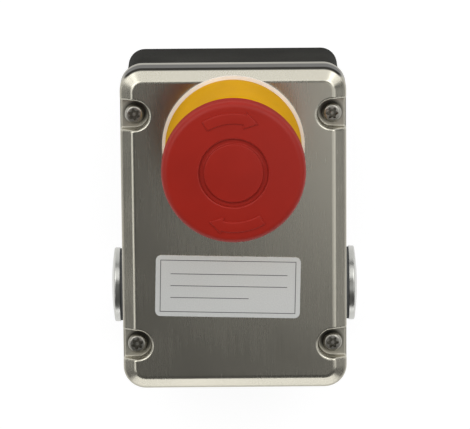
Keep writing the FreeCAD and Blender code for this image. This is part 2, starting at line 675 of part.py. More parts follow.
def actuator_barrel():
    """Flanged barrel with the stem's bore, the latch recess and the pocket for the release tongue."""
    barrel = turned([(STEM_BORE_RADIUS, BARREL_END_Z, 0), (BARREL_RADIUS, BARREL_END_Z, 0),
                     (BARREL_RADIUS, FLANGE_Z, 0), (BARREL_FLANGE_RADIUS, FLANGE_Z, 0),
                     (BARREL_FLANGE_RADIUS, FLANGE_TOP_Z, 0),
                     (LATCH_RECESS_RADIUS, FLANGE_TOP_Z, 0), (LATCH_RECESS_RADIUS, LATCH_LEDGE_Z, 0),
                     (STEM_BORE_RADIUS, LATCH_LEDGE_Z, 0)])
    pocket_low = TONGUE_LOW_Z - TRAVEL - MOVING_GAP
    pocket = ring_sector(STEM_RADIUS, LATCH_RECESS_RADIUS, pocket_low, LATCH_LEDGE_Z + OVERRUN,
                         latch_gap_start(), LATCH_GAP_ANGLE)
    return on_button(barrel.cut(pocket))


def latch_ring():
    """Open snap ring round the stem, on the ledge in the barrel."""
    ring = Part.makeTorus(LATCH_RADIUS, LATCH_WIRE_RADIUS, Vector(0, 0, LATCH_Z), Z_AXIS,
                          -180, 180, latch_gap_start())
    return on_button(ring)


def spring_seat():
    """Flat ring under the return spring, which also keeps the latch ring down."""
    inner = SLEEVE_RADIUS + MOVING_GAP
    return on_button(tube(inner, SPRING_SEAT_RADIUS, FLANGE_TOP_Z, SPRING_FOOT_Z))


def return_spring():
    """Spring between its seat and the head's boss."""
    return on_button(coil(SPRING_RADIUS, SPRING_WIRE_RADIUS, SPRING_TURNS, SPRING_FOOT_Z, BOSS_LOW_Z))


def nut_washer():
    """Plain washer between the cover and the ring nut."""
    return on_button(tube(BARREL_HOLE_RADIUS, WASHER_RADIUS, WASHER_Z, WASHER_Z + WASHER_THICKNESS))


def ring_nut():
    """Hexagon nut that clamps the button to the cover."""
    nut = hexagon(NUT_ACROSS_FLATS, NUT_Z, WASHER_Z)
    return on_button(nut.cut(rod(BARREL_RADIUS + THREAD_CLEARANCE, NUT_Z - OVERRUN, WASHER_Z + OVERRUN)))


# Moving pieces of the button

def push_stem():
    """Round stem with a spigot for the push bar, a notch for the latch ring and a tapped top."""
    notch_middle = LATCH_Z + TRAVEL
    notch_low = notch_middle - LATCH_NOTCH_HEIGHT / 2
    notch_high = notch_middle + LATCH_NOTCH_HEIGHT / 2
    notch_radius = STEM_RADIUS - LATCH_NOTCH_DEPTH
    tapped_radius = HEAD_SCREW_SHANK_RADIUS + THREAD_CLEARANCE
    tapped_low = STEM_TOP_Z - HEAD_SCREW_LENGTH - OVERRUN
    return on_button(turned([(0, PUSH_BAR_LOW_Z, 0), (STEM_SPIGOT_RADIUS, PUSH_BAR_LOW_Z, 0),
                             (STEM_SPIGOT_RADIUS, PUSH_BAR_TOP_Z, 0), (STEM_RADIUS, PUSH_BAR_TOP_Z, 0),
                             (STEM_RADIUS, notch_low, 0), (notch_radius, notch_low, 0),
                             (notch_radius, notch_high, 0), (STEM_RADIUS, notch_high, 0),
                             (STEM_RADIUS, STEM_TOP_Z, 0), (tapped_radius, STEM_TOP_Z, 0),
                             (tapped_radius, tapped_low, 0), (0, tapped_low, 0)]))


def head_screw():
    """Washer head screw that holds the turning head on the stem."""
    screw = headed_screw(HEAD_SCREW_RADIUS, HEAD_SCREW_HEIGHT, HEAD_SCREW_CHAMFER,
                         HEAD_SCREW_SHANK_RADIUS, HEAD_SCREW_LENGTH)
    return on_button(screw.translated(Vector(0, 0, STEM_TOP_Z)))


def push_bar():
    """Bar on the stem's spigot that reaches all three contact plungers."""
    bar = block(PUSH_BAR_LENGTH, PUSH_BAR_WIDTH, PUSH_BAR_LOW_Z, PUSH_BAR_TOP_Z, PUSH_BAR_ROUND)
    hole = rod(STEM_SPIGOT_RADIUS + THREAD_CLEARANCE, PUSH_BAR_LOW_Z - OVERRUN, PUSH_BAR_TOP_Z + OVERRUN)
    return on_button(bar.cut(hole))


def mushroom_head():
    """Crowned head with an undercut rim, a sliding hub, a bored boss and the seat of its disc."""
    ceiling = HEAD_TOP_Z - HUB_CEILING
    hub_low = RIM_LOW_Z - HUB_LENGTH
    under = RIM_LOW_Z + HEAD_UNDERCUT
    lip = HEAD_RADIUS - HEAD_LIP
    hub_inside = HUB_RADIUS - HUB_WALL
    socket = SLEEVE_RADIUS + THREAD_CLEARANCE
    screw_seat = HEAD_SCREW_RADIUS + COVER_FIT
    head = turned([(socket, BOSS_LOW_Z, 0), (BOSS_RADIUS, BOSS_LOW_Z, 0), (BOSS_RADIUS, ceiling, 0),
                   (hub_inside, ceiling, 0), (hub_inside, hub_low, 0), (HUB_RADIUS, hub_low, 0),
                   (HUB_RADIUS, under, HEAD_UNDERCUT), (lip, under, 0), (lip, RIM_LOW_Z, 0),
                   (HEAD_RADIUS, RIM_LOW_Z, HEAD_LOW_ROUND), (HEAD_RADIUS, HEAD_TOP_Z, 0),
                   (DISC_FLANGE_RADIUS, HEAD_TOP_Z, 0), (DISC_FLANGE_RADIUS, DISC_SEAT_Z, 0),
                   (screw_seat, DISC_SEAT_Z, 0), (screw_seat, HEAD_SCREW_SEAT_Z, 0),
                   (STEM_BORE_RADIUS, HEAD_SCREW_SEAT_Z, 0), (STEM_BORE_RADIUS, SLEEVE_TOP_Z, 0),
                   (socket, SLEEVE_TOP_Z, 0)])
    head = crowned(head, HEAD_RADIUS, HEAD_CROWN, HEAD_TOP_Z)
    head = head.makeFillet(HEAD_TOP_ROUND, edges_at_height(head, HEAD_TOP_Z - HEAD_CROWN))
    sphere = crown_radius(HEAD_RADIUS, HEAD_CROWN)
    groove_edge = HEAD_TOP_Z - sphere + math.sqrt(sphere ** 2 - DISC_FLANGE_RADIUS ** 2)
    return on_button(head.makeFillet(GROOVE_ROUND, edges_at_height(head, groove_edge)))


def head_centre_disc():
    """Crowned disc in the middle of the head, with a lower flange that is the floor of the groove."""
    flange = DISC_FLANGE_RADIUS - THREAD_CLEARANCE
    groove_z = HEAD_TOP_Z - GROOVE_DEPTH
    groove_round = min(GROOVE_ROUND, (GROOVE_DEPTH - DISC_CROWN) / 2)
    disc = turned([(0, DISC_SEAT_Z, 0), (flange, DISC_SEAT_Z, 0), (flange, groove_z, 0),
                   (DISC_RADIUS, groove_z, groove_round), (DISC_RADIUS, HEAD_TOP_Z, 0), (0, HEAD_TOP_Z, 0)])
    disc = crowned(disc, DISC_RADIUS, DISC_CROWN, HEAD_TOP_Z)
    return on_button(disc.makeFillet(groove_round, edges_at_height(disc, HEAD_TOP_Z - DISC_CROWN)))


def release_sleeve():
    """Sleeve in the head's boss, with one tongue that reaches into the gap of the latch ring."""
    sleeve = tube(STEM_BORE_RADIUS, SLEEVE_RADIUS, SLEEVE_LOW_Z, SLEEVE_TOP_Z)
    start = 360 - TONGUE_MARGIN - TONGUE_ANGLE
    tongue = ring_sector(STEM_BORE_RADIUS, SLEEVE_RADIUS, TONGUE_LOW_Z, SLEEVE_LOW_Z, start, TONGUE_ANGLE)
    return on_button(fused([sleeve, tongue]))


# Contacts

def block_places():
    """X of each contact block, with whether pressing the button opens its contact."""
    middle = (BLOCK_COUNT - 1) / 2
    return [((i - middle) * BLOCK_PITCH, i < OPENING_BLOCKS) for i in range(BLOCK_COUNT)]


def plate_height(opens):
    """Underside of the fixed contact plates in one block."""
    return OPENING_PLATE_Z if opens else CLOSING_PLATE_Z


def contact_carrier():
    """Ring on the barrel's end, a plate and two legs whose catches hold the contact blocks."""
    width = (BLOCK_COUNT - 1) * BLOCK_PITCH + BLOCK_WIDTH
    inside = BLOCK_LENGTH / 2 + CATCH_CLEARANCE
    length = 2 * (inside + CARRIER_WALL)
    plate = block(width, length, CARRIER_TOP_Z - CARRIER_PLATE, CARRIER_TOP_Z, BLOCK_ROUND)
    ring = rod(CARRIER_RING_RADIUS, CARRIER_TOP_Z - CARRIER_RING, CARRIER_TOP_Z)
    pieces = [plate, ring]
    for side in (1, -1):
        middle = side * (inside + CARRIER_WALL / 2)
        pieces.append(block(width, CARRIER_WALL, CARRIER_TOP_Z - CARRIER_LEG, CARRIER_TOP_Z, 0, 0, middle))
        catch = side * (inside - CATCH_DEPTH / 2)
        pieces.append(block(width, CATCH_DEPTH, CATCH_Z - CATCH_HEIGHT, CATCH_Z, 0, 0, catch))
    bore = rod(BARREL_RADIUS + THREAD_CLEARANCE, BLOCK_LOW_Z, CARRIER_TOP_Z + OVERRUN)
    return on_button(fused(pieces).cut(bore))


def contact_block(x, opens):
    """Housing with a contact chamber, two terminal recesses, wire ways and catch grooves."""
    plate_z = plate_height(opens)
    body = block(BLOCK_WIDTH, BLOCK_LENGTH, BLOCK_LOW_Z, BLOCK_TOP_Z, BLOCK_ROUND)
    cuts = [block(BLOCK_CHAMBER_WIDTH, BLOCK_CHAMBER_LENGTH, CHAMBER_FLOOR_Z, BLOCK_TOP_Z - BLOCK_WALL)]
    cuts.append(block(PLUNGER_WIDTH + 2 * MOVING_GAP, PLUNGER_LENGTH + 2 * MOVING_GAP, BRIDGE_Z,
                      BLOCK_TOP_Z + OVERRUN))
    for side in (1, -1):
        terminal = side * TERMINAL_OFFSET
        cuts.append(rod(TERMINAL_RECESS_RADIUS, BLOCK_LOW_Z - OVERRUN, plate_z, 0, terminal))
        shank_top = plate_z + TERMINAL_SHANK_LENGTH
        cuts.append(rod(TERMINAL_SHANK_RADIUS + THREAD_CLEARANCE, BLOCK_LOW_Z, shank_top, 0, terminal))
        way = BLOCK_LENGTH / 2 + OVERRUN - TERMINAL_OFFSET
        way_y = terminal + side * way / 2
        cuts.append(block(WIRE_WAY_WIDTH, way, plate_z - WIRE_WAY_HEIGHT, plate_z, 0, 0, way_y))
        slot_start = BLOCK_CHAMBER_LENGTH / 2 - OVERRUN
        slot = PLATE_OUTER_END + PLATE_SLOT_EXTRA - slot_start
        cuts.append(block(PLATE_WIDTH + 2 * PLATE_SLOT_EXTRA, slot, plate_z, plate_z + PLATE_THICKNESS,
                          0, 0, side * (slot_start + slot / 2)))
        groove_depth = CATCH_DEPTH + CATCH_CLEARANCE
        groove_y = side * (BLOCK_LENGTH / 2 - (groove_depth - OVERRUN) / 2)
        groove_low = CATCH_Z - CATCH_HEIGHT - CATCH_CLEARANCE
        groove_high = CATCH_Z + CATCH_CLEARANCE
        cuts.append(block(BLOCK_WIDTH + OVERRUN, groove_depth + OVERRUN, groove_low, groove_high,
                          0, 0, groove_y))
    return at(body.cut(cuts), x, BUTTON_Y)


def contact_plunger(x):
    """Plunger slotted at its foot for the contact bridge."""
    plunger = block(PLUNGER_WIDTH, PLUNGER_LENGTH, BRIDGE_Z, PUSH_BAR_LOW_Z)
    slot = block(BRIDGE_WIDTH, PLUNGER_LENGTH + OVERRUN, BRIDGE_Z - OVERRUN, BRIDGE_TOP_Z)
    return at(plunger.cut(slot), x, BUTTON_Y)


def contact_bridge(x, opens):
    """Moving contact bar with a rivet at each end, facing the fixed contacts."""
    bar = block(BRIDGE_WIDTH, BRIDGE_LENGTH, BRIDGE_Z, BRIDGE_TOP_Z)
    rivet_low = BRIDGE_TOP_Z if opens else BRIDGE_Z - RIVET_HEIGHT
    rivets = [rod(RIVET_RADIUS, rivet_low, rivet_low + RIVET_HEIGHT, 0, s * RIVET_OFFSET) for s in (1, -1)]
    return at(fused([bar] + rivets), x, BUTTON_Y)


def fixed_contact(x, side, opens):
    """Fixed contact plate from its rivet to its terminal screw."""
    low = plate_height(opens)
    high = low + PLATE_THICKNESS
    length = PLATE_OUTER_END - PLATE_INNER_END
    plate = block(PLATE_WIDTH, length, low, high, 0, 0, side * (PLATE_INNER_END + length / 2))
    rivet_low = low - RIVET_HEIGHT if opens else high
    rivet = rod(RIVET_RADIUS, rivet_low, rivet_low + RIVET_HEIGHT, 0, side * RIVET_OFFSET)
    hole_radius = TERMINAL_SHANK_RADIUS + THREAD_CLEARANCE
    hole = rod(hole_radius, low - OVERRUN, high + OVERRUN, 0, side * TERMINAL_OFFSET)
    return at(fused([plate, rivet]).cut(hole), x, BUTTON_Y)


def terminal_screw(x, side, opens):
    """Terminal screw under a fixed contact plate, its head facing the back of the box."""
    screw = headed_screw(TERMINAL_HEAD_RADIUS, TERMINAL_HEAD_HEIGHT, TERMINAL_HEAD_CHAMFER,
                         TERMINAL_SHANK_RADIUS, TERMINAL_SHANK_LENGTH - THREAD_CLEARANCE)
    screw.rotate(ORIGIN, Vector(1, 0, 0), 180)
    screw.translate(Vector(0, side * TERMINAL_OFFSET, plate_height(opens)))
    return at(screw, x, BUTTON_Y)


def contact_spring(x):
    """Spring under the contact bridge."""
    spring = coil(CONTACT_SPRING_RADIUS, CONTACT_SPRING_WIRE_RADIUS, CONTACT_SPRING_TURNS,
                  CHAMBER_FLOOR_Z, BRIDGE_Z)
    return at(spring, x, BUTTON_Y)


def save(name, shapes):
    """Write one node from one shape or a list of like shapes."""
    shapes = shapes if isinstance(shapes, list) else [shapes]
    solids = [solid for shape in shapes for solid in shape.Solids]
    node = solids[0] if len(solids) == 1 else Part.makeCompound(solids)
    node.exportStep("parts/" + name + ".step")


def main():
    os.makedirs("parts", exist_ok=True)
    pieces = [rear_box, floor_bosses, front_cover, cover_gasket, cover_screws, information_label, earth_clamp,
              earth_screw, collar_seal, yellow_collar, hub_wiper, actuator_barrel, latch_ring, spring_seat,
              return_spring, nut_washer, ring_nut, push_stem, head_screw, push_bar, mushroom_head,
              head_centre_disc, release_sleeve, contact_carrier]
    for piece in pieces:
        save(piece.__name__, piece())
    for name, side in (("right", 1), ("left", -1)):
        save("entry_plug_" + name, entry_plug(side))
    save("entry_plug_seals", [entry_plug_seal(side) for side in (1, -1)])
    blocks = block_places()
    for number, (x, opens) in enumerate(blocks, 1):
        save("contact_block_" + str(number), contact_block(x, opens))
    save("contact_plungers", [contact_plunger(x) for x, opens in blocks])
    save("contact_bridges", [contact_bridge(x, opens) for x, opens in blocks])
    save("contact_springs", [contact_spring(x) for x, opens in blocks])
    save("fixed_contacts", [fixed_contact(x, side, opens) for x, opens in blocks for side in (1, -1)])
    save("terminal_screws", [terminal_screw(x, side, opens) for x, opens in blocks for side in (1, -1)])


main()
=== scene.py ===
import math
from collections import namedtuple

import bmesh
import bpy
from bpy.props import FloatProperty, FloatVectorProperty, IntProperty, PointerProperty
from bpy.types import NodeSocket, Operator, Panel, PropertyGroup
from mathutils import Matrix, Vector


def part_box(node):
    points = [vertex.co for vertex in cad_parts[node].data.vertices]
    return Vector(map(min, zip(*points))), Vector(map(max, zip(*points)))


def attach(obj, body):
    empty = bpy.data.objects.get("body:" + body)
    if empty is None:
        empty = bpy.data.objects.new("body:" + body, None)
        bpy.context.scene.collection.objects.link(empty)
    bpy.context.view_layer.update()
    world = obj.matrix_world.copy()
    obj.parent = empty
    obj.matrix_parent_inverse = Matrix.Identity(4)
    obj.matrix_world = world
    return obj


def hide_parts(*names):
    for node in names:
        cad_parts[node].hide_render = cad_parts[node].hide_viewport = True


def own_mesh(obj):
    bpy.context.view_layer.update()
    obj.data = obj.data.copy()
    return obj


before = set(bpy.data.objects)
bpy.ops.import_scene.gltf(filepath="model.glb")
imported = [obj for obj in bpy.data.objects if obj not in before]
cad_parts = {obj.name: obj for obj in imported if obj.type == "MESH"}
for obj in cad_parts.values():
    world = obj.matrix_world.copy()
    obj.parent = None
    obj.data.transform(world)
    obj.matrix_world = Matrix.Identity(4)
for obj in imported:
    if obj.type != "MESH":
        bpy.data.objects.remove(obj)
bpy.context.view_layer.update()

bl_info = {
    "name": "Emergency Stop Switch",
    "version": (1, 0, 0),
    "blender": (4, 5, 0),
    "location": "3D View > Sidebar > Stop Switch",
    "description": "Models and finishes the visible pieces of a boxed emergency stop switch",
    "category": "Object",
}

# Everything is in metres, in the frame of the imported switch
MM = 0.001

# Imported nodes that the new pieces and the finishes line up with
HEAD_LOW, HEAD_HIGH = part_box("mushroom_head")
DISC_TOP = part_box("head_centre_disc")[1].z
COVER_LOW, COVER_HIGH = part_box("front_cover")
SCREWS_LOW, SCREWS_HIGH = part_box("cover_screws")
LABEL_LOW, LABEL_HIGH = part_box("information_label")
PLUG_LOW, PLUG_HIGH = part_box("entry_plug_right")
BUTTON_CENTRE = (HEAD_LOW + HEAD_HIGH) / 2
LABEL_CENTRE = (LABEL_LOW + LABEL_HIGH) / 2
PLUG_CENTRE = (PLUG_LOW + PLUG_HIGH) / 2

# The head's crowned top, and the cover screws, each turned by so many radians more than the one before
HEAD_RADIUS = (HEAD_HIGH.x - HEAD_LOW.x) / 2
HEAD_CROWN = 1.0 * MM
SCREW_HEAD = 2.75 * MM
SCREW_HEAD_HEIGHT = 2.0 * MM
SCREW_SEAT = SCREWS_HIGH.z - SCREW_HEAD_HEIGHT
SCREW_PLACE = SCREWS_HIGH - Vector((SCREW_HEAD, SCREW_HEAD, 0.0))
SCREW_CORNERS = ((1, 1), (-1, 1), (-1, -1), (1, -1))
SCREW_TURN = 0.7
DRIVE_LOBES = 6

# Edges between faces that turn by more than these angles stay sharp, or are rounded on the arrows
CREASE = math.radians(35.0)
ARROW_EDGE = math.radians(45.0)


# Settings that a user would change

def length(name, description, millimetres):
    """A length setting, written in millimetres."""
    return FloatProperty(name=name, description=description, default=millimetres * MM, min=0.0,
                         unit="LENGTH", subtype="DISTANCE", precision=5)


def angle(name, description, degrees):
    """An angle setting, written in degrees."""
    return FloatProperty(name=name, description=description, default=math.radians(degrees), subtype="ANGLE")


def amount(name, description, value):
    """A plain positive number."""
    return FloatProperty(name=name, description=description, default=value, min=0.0)


def count(name, description, value, least):
    """A whole number with its least value."""
    return IntProperty(name=name, description=description, default=value, min=least)


def tint(name, description, colour):
    """A colour setting."""
    return FloatVectorProperty(name=name, description=description, default=colour, subtype="COLOR",
                               min=0.0, max=1.0)


def group(settings, name, description):
    """A group of settings."""
    return PointerProperty(type=settings, name=name, description=description)


class ArrowSettings(PropertyGroup):
    """Sizes of the twist arrows"""
    inner: length("Inner radius", "Inner edge of the arrow's shaft", 13.8)
    outer: length("Outer radius", "Outer edge of the arrow's shaft", 16.8)
    barb_inner: length("Inner barb", "Radius of the arrowhead's inner corner", 12.6)
    barb_outer: length("Outer barb", "Radius of the arrowhead's outer corner", 17.6)
    tip: length("Tip radius", "Radius of the arrow's tip", 15.3)
    tail_angle: angle("Tail", "Angle of the arrow's tail, clockwise from the top", -31.0)
    neck_angle: angle("Neck", "Angle where the arrowhead starts", 12.0)
    tip_angle: angle("Tip", "Angle of the arrow's tip", 27.0)
    height: length("Height", "How far the arrows stand up from the head", 0.38)
    sunk: length("Sunk", "How far the arrows reach into the head", 0.05)
    rounding: length("Edge rounding", "Rounding of the arrows' upper edges", 0.34)
    rounding_steps: count("Rounding steps", "Segments across a rounded edge", 5, 1)
    steps: count("Steps", "Segments along an arrow's shaft", 18, 2)


class ScrewSettings(PropertyGroup):
    """Sizes of the cover screws"""
    head_radius: length("Head radius", "Radius of a cover screw's head", SCREW_HEAD / MM)
    head_height: length("Head height", "Height of a cover screw's head", SCREW_HEAD_HEIGHT / MM)
    head_edge: length("Head edge", "Chamfer under the head", 0.1)
    flat_radius: length("Flat radius", "Radius of the flat on top of the head", 1.87)
    dome_height: length("Dome height", "How far the dome drops from the flat to the head's side", 1.25)
    dome_steps: count("Dome steps", "Rings from the flat to the head's side", 8, 2)
    drive_radius: length("Drive radius", "Mean radius of the six-lobe recess", 1.4)
    drive_lobe: length("Lobe depth", "How far the lobes wave in and out", 0.3)
    drive_depth: length("Drive depth", "Depth of the recess", 1.25)
    drive_edge: length("Drive edge", "Chamfer and draft of the recess and its pin", 0.07)
    pin_radius: length("Pin radius", "Radius of the pin in the recess", 0.5)
    pin_height: length("Pin height", "Height of the pin above the floor of the recess", 1.05)
    shank_radius: length("Shank radius", "Radius of a cover screw's shank", 1.5)
    tip_height: length("Tip height", "Height of the tapered tip", 0.5)
    tip_taper: length("Tip taper", "How much narrower the tip gets", 0.4)
    segments: count("Segments", "Segments round a screw", 72, 24)


class LabelSettings(PropertyGroup):
    """Sizes of the information label"""
    width: length("Width", "Width of the label", 41.6)
    height: length("Height", "Height of the label", 18.0)
    corner: length("Corner", "Corner radius of the label", 1.6)
    corner_steps: count("Corner steps", "Segments round a corner", 8, 1)
    edge: length("Edge", "Rounding of the label's upper edge", 0.08)
    edge_steps: count("Edge steps", "Segments across the rounded edge", 2, 1)
    turn: angle("Turn", "How far askew the label is stuck on", -1.46)
    margin: length("Margin", "From the label's edge to its hairline frame", 1.3)
    hairline: length("Hairline", "Width of the frame and of the ruled lines", 0.22)


class SpringSettings(PropertyGroup):
    """Sizes of the return spring and the contact springs"""
    return_wire: length("Return wire", "Wire radius of the return spring", 0.6)
    contact_wire: length("Contact wire", "Wire radius of the contact springs", 0.22)
    contacts: count("Contact springs", "Contact springs side by side", 3, 1)
    turns: count("Turns", "Turns of each spring", 5, 2)
    steps: count("Steps", "Segments along one turn", 40, 8)
    sides: count("Sides", "Segments round the wire", 14, 6)


class ColourSettings(PropertyGroup):
    """Colours of the finishes"""
    cover_steel: tint("Cover steel", "Brushed steel of the cover", (0.50, 0.478, 0.405))
    # Painted dark reflection: a dark line in the bend, in place of dark surroundings that the bend would
    # reflect
    bend_shade_paint: tint("Bend painted shade", "Dark line in the bend above the cover's skirt", (0.03, 0.028, 0.024))
    # Painted shadow on the cover round the screw heads
    screw_shadow_paint: tint("Painted screw shadow", "Painted shadow on the cover round its screws", (0.07, 0.066, 0.055))
    screw_steel: tint("Screw steel", "Heads and shanks of the cover screws", (0.39, 0.376, 0.335))
    # Painted shade: a darker steel colour in the screws' recess, where the shade inside it falls
    screw_recess_shade: tint("Screw recess shade", "Recess of the cover screws", (0.21, 0.2, 0.168))
    box_coat: tint("Box coat", "Dark coat of the rear box", (0.021, 0.0205, 0.0175))
    head_red: tint("Head red", "Plastic of the mushroom head", (0.325, 0.0145, 0.007))
    collar_yellow: tint("Collar yellow", "Plastic of the collar", (0.67, 0.34, 0.0045))
    seal_white: tint("Seal white", "Silicone of the ring seal under the collar", (0.9, 0.83, 0.75))
    plug_metal: tint("Plug metal", "Polished metal of the entry plugs", (0.55, 0.55, 0.52))
    entry_seal: tint("Entry seal", "Flat seals under the entry plugs", (0.14, 0.145, 0.145))
    rubber: tint("Rubber", "Cover gasket and wiper seal", (0.03, 0.031, 0.03))
    label_film: tint("Label film", "Film of the information label", (0.68, 0.69, 0.67))
    label_ink: tint("Label ink", "Ruled lines of the information label", (0.10, 0.10, 0.10))
    black_plastic: tint("Black plastic", "Barrel, carrier and push bar", (0.02, 0.02, 0.02))
    natural_plastic: tint("Natural plastic", "Release sleeve and contact plungers", (0.62, 0.6, 0.54))
    block_grey: tint("Block grey", "Contact blocks", (0.16, 0.165, 0.17))
    zinc: tint("Zinc", "Plated nut, stem and screws", (0.62, 0.62, 0.58))
    brass: tint("Brass", "Contacts and earth terminal", (0.62, 0.42, 0.15))
    spring_wire: tint("Spring wire", "Springs, latch ring and spring seat", (0.42, 0.41, 0.4))


class StageSettings(PropertyGroup):
    """Camera and lights"""
    tilt: angle("Camera tilt", "How far the camera leans towards the button's end", 12.8)
    roll: angle("Camera roll", "Turn of the camera about its line of sight", 0.47)
    distance: length("Camera distance", "From the camera to the point that it looks at", 1100.0)
    lens: FloatProperty(name="Lens", description="Focal length in millimetres on a 36 mm sensor",
                        default=294.0, unit="CAMERA")
    top_light: amount("Top light", "Brightness of the soft light beyond the button's end", 1.27)
    foot_light: amount("Foot light", "Brightness of the low light beyond the label's end", 1.8)
    strip_light: amount("Strip lights", "Brightness of the left strip, which scales the right one too", 1.28)
    near_light: amount("Near light", "Brightness of the near soft light at the right", 0.8)
    key_light: amount("Key lights", "Brightness of the left key, which scales the right one too", 1.45)
    sky_low: amount("Sky at the horizon", "Brightness of the surroundings near the floor", 1.0)
    sky_high: amount("Sky overhead", "Brightness of the surroundings overhead", 0.11)
    sky_foot: amount("Sky at the foot", "Brightness of the surroundings above the label's end", 0.1)


class StopSwitchSettings(PropertyGroup):
    """All settings of the switch"""
    arrows: group(ArrowSettings, "Arrows", "Twist arrows on the head")
    screws: group(ScrewSettings, "Screws", "Cover screws")
    label: group(LabelSettings, "Label", "Information label")
    springs: group(SpringSettings, "Springs", "Return spring and contact springs")
    colours: group(ColourSettings, "Colours", "Colours of the finishes")
    stage: group(StageSettings, "Stage", "Camera and lights")


def settings_of(context):
    """The settings of this switch, kept on the scene."""
    return context.scene.stop_switch


# Building pieces

def finished_piece(name, bm, materials, body, replaced=()):
    """Turn a bmesh into a smooth-shaded piece that rides on a body of the switch."""
    bmesh.ops.recalc_face_normals(bm, faces=bm.faces[:])
    for face in bm.faces:
        face.smooth = True
    for edge in bm.edges:
        edge.smooth = len(edge.link_faces) == 2 and edge.calc_face_angle() < CREASE
    mesh = bpy.data.meshes.new(name)
    bm.to_mesh(mesh)
    bm.free()
    for material in materials:
        mesh.materials.append(material)
    piece = bpy.data.objects.new(name, mesh)
    bpy.context.scene.collection.objects.link(piece)
    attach(piece, body)
    if replaced:
        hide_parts(*replaced)
    return piece


def coat_nodes(finish, *nodes):
    """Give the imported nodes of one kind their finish."""
    for node in nodes:
        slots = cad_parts[node].data.materials
        slots.clear()
        slots.append(finish.material)


def verts_of(items):
    """The vertices among the items that a mesh operator returns."""
    return [item for item in items if isinstance(item, bmesh.types.BMVert)]


def edges_of(items):
    """The edges among the items that a mesh operator returns."""
    return [item for item in items if isinstance(item, bmesh.types.BMEdge)]


def ring_edges(verts):
    """The edges at some vertices, each once and in a steady order."""
    return list(dict.fromkeys(edge for vert in verts for edge in vert.link_edges))


def polar(centre, radius, clockwise, height):
    """Place at a radius and an angle clockwise from +Y about an upright axis."""
    across = radius * math.sin(clockwise)
    along = radius * math.cos(clockwise)
    return Vector((centre.x + across, centre.y + along, height))


def crown_drop(radius):
    """How far the crowned top of the head lies below its middle at a radius."""
    sphere = (HEAD_RADIUS ** 2 + HEAD_CROWN ** 2) / (2 * HEAD_CROWN)
    return sphere - math.sqrt(sphere ** 2 - radius ** 2)


def place_ring(verts, radius_at, height):
    """Move a ring about the Z axis to a height and to the radius that its angle gives."""
    for vert in verts:
        turn = math.atan2(vert.co.y, vert.co.x)
        vert.co = (radius_at(turn) * math.cos(turn), radius_at(turn) * math.sin(turn), height)


def next_ring(bm, loop, radius_at, height):
    """Extrude a ring of edges, place the new ring, and return its edges."""
    made = bmesh.ops.extrude_edge_only(bm, edges=loop)["geom"]
    verts = set(verts_of(made))
    place_ring(verts, radius_at, height)
    return [edge for edge in edges_of(made) if set(edge.verts) <= verts]


# Nodes and finishes

class Nodes:
    """Short ways to add nodes to a tree."""

    def __init__(self, tree):
        self.tree = tree

    def put(self, socket, value):
        """Link a socket into this one, or set a plain value on it."""
        if isinstance(value, NodeSocket):
            self.tree.links.new(value, socket)
        else:
            socket.default_value = value

    def add(self, kind, inputs=None, **options):
        """A new node with its options, and with sockets or plain values put into its inputs."""
        made = self.tree.nodes.new(kind)
        for name, option in options.items():
            setattr(made, name, option)
        for name, value in (inputs or {}).items():
            self.put(made.inputs[name], value)
        return made

    def math(self, operation, *terms):
        """A math node on numbers or sockets."""
        return self.add("ShaderNodeMath", dict(enumerate(terms)), operation=operation).outputs["Value"]

    def parts(self, vector):
        """The X, Y and Z of a vector."""
        return self.add("ShaderNodeSeparateXYZ", {"Vector": vector}).outputs

    def spread(self, factor, low, high, start=0.3, end=0.7, **options):
        """A factor between two marks mapped to a range of values."""
        inputs = {"Value": factor, "From Min": start, "From Max": end, "To Min": low, "To Max": high}
        return self.add("ShaderNodeMapRange", inputs, **options).outputs["Result"]

    def rise(self, factor, marks):
        """0 before the first mark, 1 past the second one."""
        return self.spread(factor, 0.0, 1.0, *marks)

    def fall(self, factor, marks):
        """1 before the first mark, 0 past the second one."""
        return self.spread(factor, 1.0, 0.0, *marks)


class Finish(Nodes):
    """A procedural material on the object's own coordinates, with plain values kept under its links."""

    def __init__(self, name, colour, roughness, metallic=0.0, specular=0.5):
        self.material = bpy.data.materials.new(name)
        self.material.use_nodes = True
        super().__init__(self.material.node_tree)
        self.shader = self.tree.nodes["Principled BSDF"]
        self.colour = colour
        self.place = self.add("ShaderNodeTexCoord").outputs["Object"]
        self.give("Base Color", (*colour, 1.0))
        self.give("Roughness", roughness)
        self.give("Metallic", metallic)
        self.give("Specular IOR Level", specular)

    def give(self, name, value):
        """Put a socket or a plain value into an input of the shader."""
        self.put(self.shader.inputs[name], value)

    def given(self, name):
        """The socket that is linked into an input of the shader."""
        return self.shader.inputs[name].links[0].from_socket

    def noise(self, density, detail=2.0, stretch=(1.0, 1.0, 1.0)):
        """Noise with so many cells to the metre, drawn out along an axis whose factor is small."""
        scale = [density * factor for factor in stretch]
        mapped = self.add("ShaderNodeMapping", {"Vector": self.place, "Scale": scale}).outputs["Vector"]
        inputs = {"Vector": mapped, "Scale": 1.0, "Detail": detail}
        return self.add("ShaderNodeTexNoise", inputs).outputs["Fac"]

    def mix(self, factor, base, over):
        """One colour laid over another where the factor is 1; each is a socket or three numbers."""
        layers = [layer if isinstance(layer, NodeSocket) else (*layer, 1.0) for layer in (base, over)]
        inputs = {"Factor": factor, "A": layers[0], "B": layers[1]}
        return self.add("ShaderNodeMix", inputs, data_type="RGBA").outputs["Result"]

    def shade(self, factor, dark, light, start=0.3, end=0.7):
        """The base colour, varied from a darker to a lighter share of itself."""
        darker = [dark * part for part in self.colour]
        lighter = [min(1.0, light * part) for part in self.colour]
        return self.mix(self.rise(factor, (start, end)), darker, lighter)

    def emboss(self, height, depth):
        """Fine relief of a depth in metres."""
        bump = self.add("ShaderNodeBump", {"Height": height, "Strength": 1.0, "Distance": depth})
        self.give("Normal", bump.outputs["Normal"])


